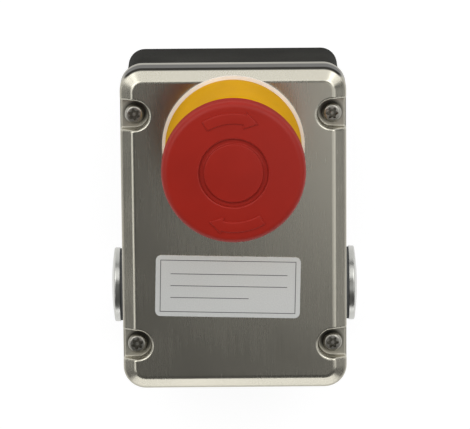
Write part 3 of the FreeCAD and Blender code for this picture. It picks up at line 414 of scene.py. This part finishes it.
def moulded_plastic(name, colour, rough, specular=0.5, grain=2600.0, relief=0.004 * MM):
    """Moulded plastic: spark-eroded grain, soft blotches of colour and gloss."""
    finish = Finish(name, colour, rough, specular=specular)
    blotches = finish.noise(density=70.0, detail=3.0)
    grains = finish.noise(density=grain)
    finish.give("Base Color", finish.shade(blotches, dark=0.93, light=1.06))
    finish.give("Roughness", finish.spread(grains, low=rough - 0.06, high=rough + 0.08))
    finish.emboss(grains, relief)
    return finish


def seal_rubber(name, colour):
    """Matte moulded rubber with a coarser grain."""
    return moulded_plastic(name, colour, rough=0.7, specular=0.15, grain=900.0, relief=0.01 * MM)


def satin_metal(name, colour, rough, density, stretch=(1.0, 1.0, 1.0)):
    """Bare metal with fine marks that may run along one axis."""
    finish = Finish(name, colour, rough, metallic=1.0)
    marks = finish.noise(density, detail=3.0, stretch=stretch)
    stains = finish.noise(density=60.0, detail=3.0)
    finish.give("Base Color", finish.shade(stains, dark=0.9, light=1.08))
    finish.give("Roughness", finish.spread(marks, low=rough - 0.08, high=rough + 0.1))
    finish.emboss(marks, 0.002 * MM)
    return finish


# The head's finish: the side of the rim is matte up to the first height, the top is satin from the second
RIM_TURN = (HEAD_HIGH.z - 2.6 * MM, HEAD_HIGH.z - 1.6 * MM)
RIM_MATTE = 1.0
HEAD_SATIN = 0.42


def red_head_plastic(colours):
    """Satin red plastic, matte on the side of the head's rim."""
    finish = moulded_plastic("red_head_plastic", colours.head_red, rough=HEAD_SATIN, specular=0.25)
    height = finish.parts(finish.place)["Z"]
    side = finish.spread(height, RIM_MATTE - HEAD_SATIN, 0.0, *RIM_TURN)
    finish.give("Roughness", finish.math("ADD", finish.given("Roughness"), side))
    return finish


# Where the cover's finish and its painted shade change: each pair holds the places where a change starts and
# ends
COVER_BEND = COVER_HIGH.z - 2.05 * MM
ENDS_BRUSHED = (COVER_BEND, COVER_BEND + 0.25 * MM)
SIDES_BRUSHED = (COVER_BEND - 1.05 * MM, COVER_BEND - 0.8 * MM)
BEND_SHADE_BAND = (COVER_BEND - 0.9 * MM, COVER_BEND - 0.6 * MM)
SKIRT_EDGE = (COVER_LOW.z + 2.4 * MM, COVER_LOW.z + 3.6 * MM)
BUTTON_END = (COVER_HIGH.y - 3.0 * MM, COVER_HIGH.y - 2.0 * MM)
POCKET_REACH = (6.2 * MM, 6.6 * MM)
POCKET_FLOOR = SCREW_SEAT - 0.15 * MM
# Painted shadow round each screw head, drawn inwards and towards +Y, the side where the shade falls
SCREW_SHADOW_REACH = (SCREW_HEAD, SCREW_HEAD + 1.1 * MM)
SCREW_SHADOW_DRIFT = 0.45 * MM


def screw_distance(finish, place, drift):
    """Distance from the nearest cover screw's axis, moved inwards and towards +Y by a drift."""
    across = finish.math("SUBTRACT", finish.math("ABSOLUTE", place["X"]), SCREW_PLACE.x - drift)
    shifted = finish.math("SUBTRACT", place["Y"], drift)
    along = finish.math("SUBTRACT", finish.math("ABSOLUTE", shifted), SCREW_PLACE.y)
    squares = [finish.math("MULTIPLY", part, part) for part in (across, along)]
    return finish.math("SQRT", finish.math("ADD", *squares))


def cover_sides(finish, place, marks, shadow_colour):
    """Colour of the cover's sides: a skirt painted darker as painted reflection, brighter screw pockets in
    it, and painted shadow round the screws in those.
    """
    near = finish.fall(screw_distance(finish, place, 0.0), POCKET_REACH)
    pocket = finish.math("MULTIPLY", near, finish.math("GREATER_THAN", place["Z"], POCKET_FLOOR))
    # Painted dark reflection: the sides' skirt is painted darker than the steel, in place of dark
    # surroundings it would reflect; the pockets keep a brighter colour
    skirt_painted_darker = finish.shade(marks, dark=0.56, light=0.68)
    walls = finish.mix(pocket, skirt_painted_darker, finish.shade(marks, dark=0.95, light=1.1))
    # Painted shadow round the screw heads
    screw_shadow = finish.fall(screw_distance(finish, place, SCREW_SHADOW_DRIFT), SCREW_SHADOW_REACH)
    return finish.mix(screw_shadow, walls, shadow_colour)


def brushed_cover_steel(colours):
    """Steel sheet brushed along its length, with a rougher skirt painted darker and a dark line in the bend,
    both painted reflection, and painted shadow round the screws.
    """
    finish = Finish("brushed_cover_steel", colours.cover_steel, roughness=0.3, metallic=1.0, specular=0.1)
    strokes = finish.noise(density=6200.0, detail=3.0, stretch=(1.0, 0.012, 1.0))
    marks = finish.noise(density=48.0, detail=4.0)
    place = finish.parts(finish.place)
    height = place["Z"]
    bright = finish.shade(strokes, dark=0.97, light=1.03, start=0.35, end=0.65)
    sides_with_painted_shade = cover_sides(finish, place, marks, colours.screw_shadow_paint)
    sides = finish.mix(finish.rise(height, SIDES_BRUSHED), sides_with_painted_shade, bright)
    # Painted dark reflection: the skirt at the button's end is painted far darker than the steel, with a
    # paler band at its lower edge as a painted light edge line
    end_skirt_painted_dark = finish.shade(marks, dark=0.1, light=0.16)
    pale_edge = finish.shade(marks, dark=0.7, light=0.8)
    skirt = finish.mix(finish.fall(height, SKIRT_EDGE), end_skirt_painted_dark, pale_edge)
    brushed = finish.rise(height, ENDS_BRUSHED)
    below = finish.math("SUBTRACT", 1.0, brushed)
    at_button_end = finish.rise(place["Y"], BUTTON_END)
    plain = finish.mix(at_button_end, sides, finish.mix(brushed, skirt, bright))
    # Painted dark reflection: a dark, non-metallic line in the bend at the button's end
    bend_shade = finish.math("MULTIPLY", finish.rise(height, BEND_SHADE_BAND), at_button_end)
    bend_shade = finish.math("MULTIPLY", bend_shade, below)
    finish.give("Base Color", finish.mix(bend_shade, plain, colours.bend_shade_paint))
    finish.give("Metallic", finish.math("SUBTRACT", 1.0, bend_shade))
    stroke_polish = finish.spread(strokes, low=0.235, high=0.275)
    polish = finish.math("ADD", stroke_polish, finish.spread(marks, low=-0.015, high=0.025))
    skirt_dulling = 0.2
    finish.give("Roughness", finish.math("MULTIPLY_ADD", below, skirt_dulling, polish))
    finish.emboss(strokes, 0.0006 * MM)
    return finish


def dark_box_coat(colours):
    """Dark coat with a fine orange-peel texture."""
    finish = Finish("dark_box_coat", colours.box_coat, roughness=0.62, specular=0.015)
    peel = finish.noise(density=1400.0)
    clouds = finish.noise(density=40.0, detail=3.0)
    speckle = finish.math("DIVIDE", finish.math("ADD", clouds, peel), 2.0)
    finish.give("Base Color", finish.shade(speckle, dark=0.6, light=1.5, start=0.38, end=0.62))
    finish.give("Roughness", finish.spread(peel, low=0.55, high=0.72))
    finish.emboss(peel, 0.05 * MM)
    return finish


def polished_plug_metal(colours):
    """Polished metal with faint turning rings about the entry's axis."""
    finish = Finish("polished_plug_metal", colours.plug_metal, roughness=0.26, metallic=1.0)
    shift = {"Vector": finish.place, "Location": (0.0, -PLUG_CENTRE.y, -PLUG_CENTRE.z)}
    centred = finish.add("ShaderNodeMapping", shift).outputs["Vector"]
    wave = {"Vector": centred, "Scale": 420.0, "Distortion": 0.4, "Detail": 1.0}
    rings = finish.add("ShaderNodeTexWave", wave, wave_type="RINGS", rings_direction="X").outputs["Fac"]
    smears = finish.noise(density=130.0, detail=3.0)
    finish.give("Base Color", finish.shade(smears, dark=0.93, light=1.05))
    turned = finish.spread(rings, low=0.2, high=0.26, start=0.0, end=1.0)
    finish.give("Roughness", finish.math("ADD", turned, finish.spread(smears, low=0.0, high=0.08)))
    finish.emboss(rings, 0.0008 * MM)
    return finish


# Blank ruled lines of the label: height of the first above the middle, pitch, left end and right ends
LINE_TOP = 3.6 * MM
LINE_PITCH = 3.5 * MM
LINE_START = -16.5 * MM
LINE_ENDS = (17.0 * MM, 17.0 * MM, 6.0 * MM)


def label_film(colours, label):
    """Pale film with a hairline frame and blank ruled lines."""
    finish = Finish("label_film", colours.label_film, roughness=0.42)
    lie = {"Vector": finish.place, "Location": (LABEL_CENTRE.x, LABEL_CENTRE.y, 0.0),
           "Rotation": (0.0, 0.0, label.turn)}
    on_label = finish.add("ShaderNodeMapping", lie, vector_type="TEXTURE").outputs["Vector"]
    place = finish.parts(on_label)

    def past(axis, centre, extent):
        """How far a point lies outside a band across the label."""
        off = finish.math("ABSOLUTE", finish.math("SUBTRACT", place[axis], centre))
        return finish.math("SUBTRACT", off, extent / 2)

    def bar(centre_x, centre_y, width, height):
        """Factor that is 1 inside a rectangle on the label."""
        outside = finish.math("MAXIMUM", past("X", centre_x, width), past("Y", centre_y, height))
        return finish.math("LESS_THAN", outside, 0.0)

    outer, inner = [bar(0.0, 0.0, label.width - 2 * inset, label.height - 2 * inset)
                    for inset in (label.margin, label.margin + label.hairline)]
    ink = finish.math("SUBTRACT", outer, inner)
    for index, line_end in enumerate(LINE_ENDS):
        middle_x = (LINE_START + line_end) / 2
        middle_y = LINE_TOP - index * LINE_PITCH
        line = bar(middle_x, middle_y, line_end - LINE_START, label.hairline)
        ink = finish.math("MAXIMUM", ink, line)
    paper = finish.noise(density=3000.0)
    film = finish.shade(paper, dark=0.95, light=1.05)
    finish.give("Base Color", finish.mix(ink, film, colours.label_ink))
    finish.give("Roughness", finish.spread(paper, low=0.38, high=0.5))
    finish.emboss(paper, 0.002 * MM)
    return finish


# The pieces' operators

class STOPSWITCH_OT_enclosure(Operator):
    """Finish the steel cover, the dark box and the rubber between them"""
    bl_idname = "stop_switch.enclosure"
    bl_label = "Enclosure"

    def execute(self, context):
        colours = settings_of(context).colours
        coat_nodes(brushed_cover_steel(colours), "front_cover")
        coat_nodes(dark_box_coat(colours), "rear_box", "floor_bosses")
        coat_nodes(seal_rubber("black_seal_rubber", colours.rubber), "cover_gasket", "hub_wiper")
        return {"FINISHED"}


class STOPSWITCH_OT_entry_plugs(Operator):
    """Finish the polished plugs of the cable entries and their seals"""
    bl_idname = "stop_switch.entry_plugs"
    bl_label = "Entry plugs"

    def execute(self, context):
        colours = settings_of(context).colours
        coat_nodes(polished_plug_metal(colours), "entry_plug_left", "entry_plug_right")
        coat_nodes(seal_rubber("grey_entry_seal", colours.entry_seal), "entry_plug_seals")
        return {"FINISHED"}


class STOPSWITCH_OT_button(Operator):
    """Finish the mushroom head, its disc, the collar and the ring seal"""
    bl_idname = "stop_switch.button"
    bl_label = "Button"

    def execute(self, context):
        colours = settings_of(context).colours
        coat_nodes(red_head_plastic(colours), "mushroom_head", "head_centre_disc")
        yellow = moulded_plastic("yellow_collar_plastic", colours.collar_yellow, rough=0.6, specular=0.04)
        coat_nodes(yellow, "yellow_collar")
        white = moulded_plastic("white_seal_silicone", colours.seal_white, rough=0.6, specular=0.2,
                                grain=1200.0, relief=0.006 * MM)
        coat_nodes(white, "collar_seal")
        return {"FINISHED"}


class STOPSWITCH_OT_twist_arrows(Operator):
    """Raise the two twist arrows on the mushroom head"""
    bl_idname = "stop_switch.twist_arrows"
    bl_label = "Twist arrows"

    def execute(self, context):
        sizes = settings_of(context).arrows
        bm = bmesh.new()
        self.outline(bm, sizes, DISC_TOP - sizes.sunk)
        self.thicken(bm, sizes)
        for vert in bm.verts:
            vert.co.z -= crown_drop((vert.co - BUTTON_CENTRE).xy.length)
        second = bmesh.ops.duplicate(bm, geom=bm.verts[:] + bm.edges[:] + bm.faces[:])["geom"]
        half_turn = Matrix.Rotation(math.pi, 3, "Z")
        bmesh.ops.rotate(bm, verts=verts_of(second), cent=BUTTON_CENTRE, matrix=half_turn)
        finished_piece("twist_arrows", bm, [bpy.data.materials["red_head_plastic"]], "head")
        return {"FINISHED"}

    def outline(self, bm, sizes, low):
        """One flat arrow: a shaft spun about the button's axis, and the arrowhead at its end."""
        def corner(radius, clockwise):
            return bm.verts.new(polar(BUTTON_CENTRE, radius, clockwise, low))

        tail = [corner(radius, sizes.tail_angle) for radius in (sizes.inner, sizes.outer)]
        shaft = bmesh.ops.spin(bm, geom=tail + [bm.edges.new(tail)], axis=(0, 0, -1), dvec=(0, 0, 0),
                               cent=(BUTTON_CENTRE.x, BUTTON_CENTRE.y, low), steps=sizes.steps,
                               angle=sizes.neck_angle - sizes.tail_angle, use_merge=False)
        neck = verts_of(shaft["geom_last"])
        neck.sort(key=lambda vert: (vert.co - BUTTON_CENTRE).xy.length)
        barb_inner = corner(sizes.barb_inner, sizes.neck_angle)
        barb_outer = corner(sizes.barb_outer, sizes.neck_angle)
        bm.faces.new((barb_inner, neck[0], neck[1], barb_outer, corner(sizes.tip, sizes.tip_angle)))
        bmesh.ops.recalc_face_normals(bm, faces=bm.faces[:])

    def thicken(self, bm, sizes):
        """Give the flat arrow its height and round its upper edges."""
        raised = bmesh.ops.extrude_face_region(bm, geom=bm.faces[:], use_keep_orig=True)["geom"]
        top = verts_of(raised)
        bmesh.ops.translate(bm, verts=top, vec=(0, 0, sizes.height + sizes.sunk))
        bmesh.ops.recalc_face_normals(bm, faces=bm.faces[:])
        rim = [edge for edge in bm.edges if all(vert in top for vert in edge.verts)
               and edge.calc_face_angle(0.0) > ARROW_EDGE]
        bmesh.ops.bevel(bm, geom=rim, offset=sizes.rounding, offset_type="OFFSET", affect="EDGES",
                        segments=sizes.rounding_steps, profile=0.5, material=-1, clamp_overlap=True)


class STOPSWITCH_OT_cover_screws(Operator):
    """Model the four cover screws with their six-lobe recess and its pin"""
    bl_idname = "stop_switch.cover_screws"
    bl_label = "Cover screws"

    def execute(self, context):
        settings = settings_of(context)
        colours = settings.colours
        bm = bmesh.new()
        for index, (side, end) in enumerate(SCREW_CORNERS):
            verts = self.screw(bm, settings.screws)
            turn = Matrix.Rotation(index * SCREW_TURN, 3, "Z")
            bmesh.ops.rotate(bm, verts=verts, cent=(0, 0, 0), matrix=turn)
            bmesh.ops.translate(bm, verts=verts, vec=(side * SCREW_PLACE.x, end * SCREW_PLACE.y, 0.0))
        steel = satin_metal("screw_steel", colours.screw_steel, rough=0.34, density=2400.0)
        # The recess takes a darker steel as painted shade
        recess = satin_metal("screw_recess_shaded_steel", colours.screw_recess_shade, rough=0.4, density=2400.0)
        finished_piece("security_screws", bm, [steel.material, recess.material], "enclosure",
                       ["cover_screws"])
        return {"FINISHED"}

    def screw(self, bm, sizes):
        """One screw on the Z axis, built inwards and outwards from the rim of its recess."""
        before = set(bm.verts)
        top = SCREWS_HIGH.z
        rim = bmesh.ops.create_circle(bm, segments=sizes.segments, radius=sizes.drive_radius)["verts"]
        start = ring_edges(rim)
        place_ring(rim, self.lobed(sizes, sizes.drive_edge), top)
        floor_loop = self.recess(bm, start, sizes, top)
        recess = {face for face in bm.faces if not set(face.verts) & before}
        self.pin(bm, floor_loop, sizes, top - sizes.drive_depth)
        self.head_and_shank(bm, start, sizes, top)
        for face in bm.faces:
            if not set(face.verts) & before:
                # Faces of the recess take the second material, the darker steel of the painted shade
                face.material_index = int(face in recess)
        return [vert for vert in bm.verts if vert not in before]

    def lobed(self, sizes, offset):
        """Radius of the six-lobe outline at an angle, grown by an offset."""
        return lambda turn: sizes.drive_radius + offset + sizes.drive_lobe * math.cos(DRIVE_LOBES * turn)

    def round_rings(self, bm, loop, rings):
        """Extrude a loop through round rings, each a radius and a height."""
        for radius, height in rings:
            loop = next_ring(bm, loop, lambda turn: radius, height)
        return loop

    def recess(self, bm, loop, sizes, top):
        """Chamfer, wall and floor of the recess, down to the foot of its pin."""
        floor = top - sizes.drive_depth
        loop = next_ring(bm, loop, self.lobed(sizes, 0.0), top - sizes.drive_edge)
        loop = next_ring(bm, loop, self.lobed(sizes, -sizes.drive_edge), floor)
        return self.round_rings(bm, loop, [(sizes.pin_radius, floor)])

    def pin(self, bm, loop, sizes, floor):
        """The pin in the recess, with a chamfered end."""
        end = floor + sizes.pin_height
        rings = [(sizes.pin_radius, end - sizes.drive_edge), (sizes.pin_radius - sizes.drive_edge, end)]
        bmesh.ops.contextual_create(bm, geom=self.round_rings(bm, loop, rings))

    def head_and_shank(self, bm, loop, sizes, top):
        """The domed head, its underside and the shank with a tapered tip."""
        seat = top - sizes.head_height
        tip = SCREWS_LOW.z
        rings = []
        for step in range(sizes.dome_steps + 1):
            lean = math.pi / 2 * step / sizes.dome_steps
            radius = sizes.flat_radius + (sizes.head_radius - sizes.flat_radius) * math.sin(lean)
            rings.append((radius, top - sizes.dome_height * (1.0 - math.cos(lean))))
        rings.append((sizes.head_radius, seat + sizes.head_edge))
        rings.append((sizes.head_radius - sizes.head_edge, seat))
        rings.append((sizes.shank_radius, seat))
        rings.append((sizes.shank_radius, tip + sizes.tip_height))
        rings.append((sizes.shank_radius - sizes.tip_taper, tip))
        bmesh.ops.contextual_create(bm, geom=self.round_rings(bm, loop, rings))


class STOPSWITCH_OT_label(Operator):
    """Model the information label with its frame and blank ruled lines"""
    bl_idname = "stop_switch.label"
    bl_label = "Information label"

    def execute(self, context):
        settings = settings_of(context)
        sizes = settings.label
        bm = bmesh.new()
        sheet = bmesh.ops.create_grid(bm, x_segments=1, y_segments=1, size=0.5)["verts"]
        bmesh.ops.scale(bm, verts=sheet, vec=(sizes.width, sizes.height, 1.0))
        bmesh.ops.bevel(bm, geom=sheet, offset=sizes.corner, offset_type="OFFSET", affect="VERTICES",
                        segments=sizes.corner_steps, profile=0.5, material=-1)
        raised = bmesh.ops.extrude_face_region(bm, geom=bm.faces[:], use_keep_orig=True)["geom"]
        top = verts_of(raised)
        bmesh.ops.translate(bm, verts=top, vec=(0, 0, LABEL_HIGH.z - LABEL_LOW.z))
        rim = [edge for edge in bm.edges if all(vert in top for vert in edge.verts)]
        bmesh.ops.bevel(bm, geom=rim, offset=sizes.edge, offset_type="OFFSET", affect="EDGES",
                        segments=sizes.edge_steps, profile=0.5, material=-1)
        bmesh.ops.rotate(bm, verts=bm.verts[:], cent=(0, 0, 0), matrix=Matrix.Rotation(sizes.turn, 3, "Z"))
        bmesh.ops.translate(bm, verts=bm.verts[:], vec=(LABEL_CENTRE.x, LABEL_CENTRE.y, LABEL_LOW.z))
        film = label_film(settings.colours, sizes)
        finished_piece("blank_label", bm, [film.material], "enclosure", ["information_label"])
        return {"FINISHED"}


class STOPSWITCH_OT_mechanism(Operator):
    """Finish the pieces inside the box and the button"""
    bl_idname = "stop_switch.mechanism"
    bl_label = "Mechanism"

    def execute(self, context):
        colours = settings_of(context).colours
        black = moulded_plastic("black_mechanism_plastic", colours.black_plastic, rough=0.5)
        coat_nodes(black, "actuator_barrel", "contact_carrier", "push_bar")
        natural = moulded_plastic("natural_plastic", colours.natural_plastic, rough=0.5)
        coat_nodes(natural, "release_sleeve", "contact_plungers")
        grey = moulded_plastic("grey_block_plastic", colours.block_grey, rough=0.55)
        coat_nodes(grey, "contact_block_1", "contact_block_2", "contact_block_3")
        zinc = satin_metal("zinc_plate", colours.zinc, rough=0.32, density=700.0)
        coat_nodes(zinc, "nut_washer", "ring_nut", "push_stem", "head_screw", "terminal_screws")
        brass = satin_metal("contact_brass", colours.brass, rough=0.3, density=1200.0)
        coat_nodes(brass, "earth_clamp", "earth_screw", "contact_bridges", "fixed_contacts")
        return {"FINISHED"}


class STOPSWITCH_OT_springs(Operator):
    """Coil the return spring and the contact springs"""
    bl_idname = "stop_switch.springs"
    bl_label = "Springs"

    def execute(self, context):
        settings = settings_of(context)
        sizes = settings.springs
        wire = satin_metal("spring_wire", settings.colours.spring_wire, rough=0.28, density=3000.0,
                           stretch=(1.0, 1.0, 0.1))
        coat_nodes(wire, "latch_ring", "spring_seat")
        self.coils("return_spring_coil", "return_spring", 1, sizes.return_wire, sizes, wire)
        self.coils("contact_spring_coils", "contact_springs", sizes.contacts, sizes.contact_wire, sizes,
                   wire)
        return {"FINISHED"}

    def coils(self, name, node, springs, wire, sizes, finish):
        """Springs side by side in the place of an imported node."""
        low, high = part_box(node)
        outer = (high.y - low.y) / 2
        pitch = (high.x - low.x - 2 * outer) / max(springs - 1, 1)
        bm = bmesh.new()
        for index in range(springs):
            foot = low + Vector((outer + index * pitch, outer, 0.0))
            self.coil(bm, foot, outer - wire, wire, high.z - low.z, sizes)
        piece = finished_piece(name, bm, [finish.material], "enclosure", [node])
        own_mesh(piece)

    def coil(self, bm, foot, radius, wire, height, sizes):
        """One spring: a ring of the wire's section, spun up about the Z axis and closed at both ends."""
        ring = bmesh.ops.create_circle(bm, segments=sizes.sides, radius=wire)["verts"]
        bmesh.ops.rotate(bm, verts=ring, cent=(0, 0, 0), matrix=Matrix.Rotation(math.pi / 2, 3, "X"))
        bmesh.ops.translate(bm, verts=ring, vec=foot + Vector((radius, 0.0, wire)))
        start = ring_edges(ring)
        steps = sizes.turns * sizes.steps
        climb = (height - 2 * wire) / steps
        made = bmesh.ops.spin(bm, geom=ring + start, cent=foot, axis=(0, 0, 1), dvec=(0, 0, climb),
                              angle=sizes.turns * math.tau, steps=steps, use_merge=False)
        for end in (start, edges_of(made["geom_last"])):
            bmesh.ops.contextual_create(bm, geom=end)


# Stage: floor, surroundings, lights and camera

LOOK_AT = Vector((0.3, 4.25, 41.4)) * MM
CLIP_RANGE = (0.05, 50.0)

# The floor lies a hair below the switch, and shows this share of its own glow over its shaded grey
FLOOR_HALF = 4.0
FLOOR_DROP = 0.2 * MM
FLOOR_GREY = 0.9
FLOOR_GLOW = 1.18
FLOOR_GLOW_SHARE = 0.75

# Where the surroundings change, in degrees: the lean towards +Y at which the dark sky above the label's end
# turns into the rest of the sky, and the lean from overhead at which the white horizon does
FOOT_BAND = (-32.0, -18.0)
HORIZON_BAND = (86.0, 78.0)

# Soft lights: the setting for their brightness and their share of it, how they lean from overhead towards
# +X and +Y in degrees, and their distance and size in metres
Lamp = namedtuple("Lamp", "name setting share lean distance size")
LAMPS = (
    Lamp("top_softbox", "top_light", 1.0, (0.0, 48.0), 0.55, (0.88, 0.42)),
    Lamp("foot_softbox", "foot_light", 1.0, (0.0, -78.0), 1.0, (1.6, 0.2)),
    Lamp("left_strip", "strip_light", 1.0, (-48.5, 0.0), 0.8, (0.9, 0.33)),
    Lamp("right_strip", "strip_light", 0.25, (52.0, 0.0), 0.8, (0.9, 0.16)),
    Lamp("near_softbox", "near_light", 1.0, (34.0, -10.0), 0.5, (0.24, 0.6)),
    Lamp("left_key", "key_light", 1.0, (-40.0, 33.0), 0.6, (0.4, 0.4)),
    Lamp("right_key", "key_light", 1.25, (40.0, 33.0), 0.6, (0.4, 0.4)),
)


class STOPSWITCH_OT_stage(Operator):
    """Set the floor, the soft lights, the surroundings and the camera"""
    bl_idname = "stop_switch.stage"
    bl_label = "Stage"

    def execute(self, context):
        stage = settings_of(context).stage
        context.scene.view_settings.view_transform = "Standard"
        self.floor(context)
        self.surroundings(context, stage)
        for lamp in LAMPS:
            self.soft_light(context, lamp, lamp.share * getattr(stage, lamp.setting))
        self.camera(context, stage)
        return {"FINISHED"}

    def floor(self, context):
        """Wide pale floor."""
        bm = bmesh.new()
        bmesh.ops.create_grid(bm, x_segments=1, y_segments=1, size=FLOOR_HALF)
        bmesh.ops.translate(bm, verts=bm.verts[:], vec=(0, 0, -FLOOR_DROP))
        mesh = bpy.data.meshes.new("floor")
        bm.to_mesh(mesh)
        bm.free()
        mesh.materials.append(self.pale_floor())
        floor = bpy.data.objects.new("floor", mesh)
        context.scene.collection.objects.link(floor)

    def pale_floor(self):
        """Shows white to the camera and in reflections, and keeps a soft shadow."""
        material = bpy.data.materials.new("pale_floor")
        material.use_nodes = True
        nodes = Nodes(material.node_tree)
        nodes.tree.nodes.clear()
        rays = nodes.add("ShaderNodeLightPath").outputs
        seen = nodes.math("MAXIMUM", rays["Is Camera Ray"], rays["Is Glossy Ray"])
        shown = nodes.math("MAXIMUM", seen, rays["Is Transmission Ray"])
        share = nodes.math("MULTIPLY", shown, FLOOR_GLOW_SHARE)
        grey = nodes.add("ShaderNodeBsdfDiffuse", {"Color": (FLOOR_GREY, FLOOR_GREY, FLOOR_GREY, 1.0)})
        glow = nodes.add("ShaderNodeEmission", {"Strength": FLOOR_GLOW})
        layers = {"Fac": share, 1: grey.outputs["BSDF"], 2: glow.outputs["Emission"]}
        mixed = nodes.add("ShaderNodeMixShader", layers)
        nodes.add("ShaderNodeOutputMaterial", {"Surface": mixed.outputs["Shader"]})
        return material

    def surroundings(self, context, stage):
        """White at the horizon, darker overhead, darkest above the label's end."""
        world = bpy.data.worlds.new("studio")
        context.scene.world = world
        world.use_nodes = True
        nodes = Nodes(world.node_tree)
        direction = nodes.parts(nodes.add("ShaderNodeTexCoord").outputs["Generated"])
        foot_marks = [math.sin(math.radians(degrees)) for degrees in FOOT_BAND]
        overhead = nodes.spread(direction["Y"], stage.sky_foot, stage.sky_high, *foot_marks)
        horizon_marks = [math.cos(math.radians(degrees)) for degrees in HORIZON_BAND]
        strength = nodes.spread(direction["Z"], stage.sky_low, overhead, *horizon_marks,
                                interpolation_type="SMOOTHSTEP")
        background = nodes.tree.nodes["Background"]
        nodes.put(background.inputs["Strength"], strength)
        nodes.put(background.inputs["Color"], (1.0, 1.0, 1.0, 1.0))

    def soft_light(self, context, lamp, brightness):
        """Rectangular light that faces the switch."""
        across, along = (math.radians(degrees) for degrees in lamp.lean)
        direction = Vector((math.tan(across), math.tan(along), 1.0)).normalized()
        light = bpy.data.lights.new(lamp.name, "AREA")
        light.shape = "RECTANGLE"
        light.size, light.size_y = lamp.size
        light.energy = brightness * math.pi * light.size * light.size_y
        body = bpy.data.objects.new(lamp.name, light)
        facing = direction.to_track_quat("Z", "Y").to_matrix().to_4x4()
        body.matrix_world = Matrix.Translation(LOOK_AT + lamp.distance * direction) @ facing
        context.scene.collection.objects.link(body)

    def camera(self, context, stage):
        """Long lens, leaning a little towards the button's end."""
        back = Vector((0.0, math.sin(stage.tilt), math.cos(stage.tilt)))
        up = Vector((0.0, math.cos(stage.tilt), -math.sin(stage.tilt)))
        right = up.cross(back)
        turned_right = math.cos(stage.roll) * right - math.sin(stage.roll) * up
        turned_up = math.cos(stage.roll) * up + math.sin(stage.roll) * right
        facing = Matrix((turned_right, turned_up, back)).transposed().to_4x4()
        lens = bpy.data.cameras.new("camera")
        lens.lens = stage.lens
        lens.sensor_fit = "HORIZONTAL"
        lens.clip_start, lens.clip_end = CLIP_RANGE
        camera = bpy.data.objects.new("camera", lens)
        camera.matrix_world = Matrix.Translation(LOOK_AT + stage.distance * back) @ facing
        context.scene.collection.objects.link(camera)
        context.scene.camera = camera


OPERATORS = (STOPSWITCH_OT_enclosure, STOPSWITCH_OT_entry_plugs, STOPSWITCH_OT_button,
             STOPSWITCH_OT_twist_arrows, STOPSWITCH_OT_cover_screws, STOPSWITCH_OT_label,
             STOPSWITCH_OT_mechanism, STOPSWITCH_OT_springs, STOPSWITCH_OT_stage)


class STOPSWITCH_PT_sidebar(Panel):
    """Sidebar panel that lists the steps in order"""
    bl_idname = "STOPSWITCH_PT_sidebar"
    bl_label = "Stop Switch"
    bl_space_type = "VIEW_3D"
    bl_region_type = "UI"
    bl_category = "Stop Switch"

    def draw(self, context):
        for operator in OPERATORS:
            self.layout.operator(operator.bl_idname)


CLASSES = (ArrowSettings, ScrewSettings, LabelSettings, SpringSettings, ColourSettings, StageSettings,
           StopSwitchSettings, *OPERATORS, STOPSWITCH_PT_sidebar)


def register():
    """Make the classes known, and keep the settings on the scene."""
    for cls in CLASSES:
        bpy.utils.register_class(cls)
    bpy.types.Scene.stop_switch = group(StopSwitchSettings, "Stop switch", "Settings of the stop switch")


def unregister():
    """Take the settings and the classes away again."""
    del bpy.types.Scene.stop_switch
    for cls in reversed(CLASSES):
        bpy.utils.unregister_class(cls)


def main():
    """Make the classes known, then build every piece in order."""
    register()
    for operator in OPERATORS:
        group_name, name = operator.bl_idname.split(".")
        getattr(getattr(bpy.ops, group_name), name)()


if __name__ == "__main__":
    main()
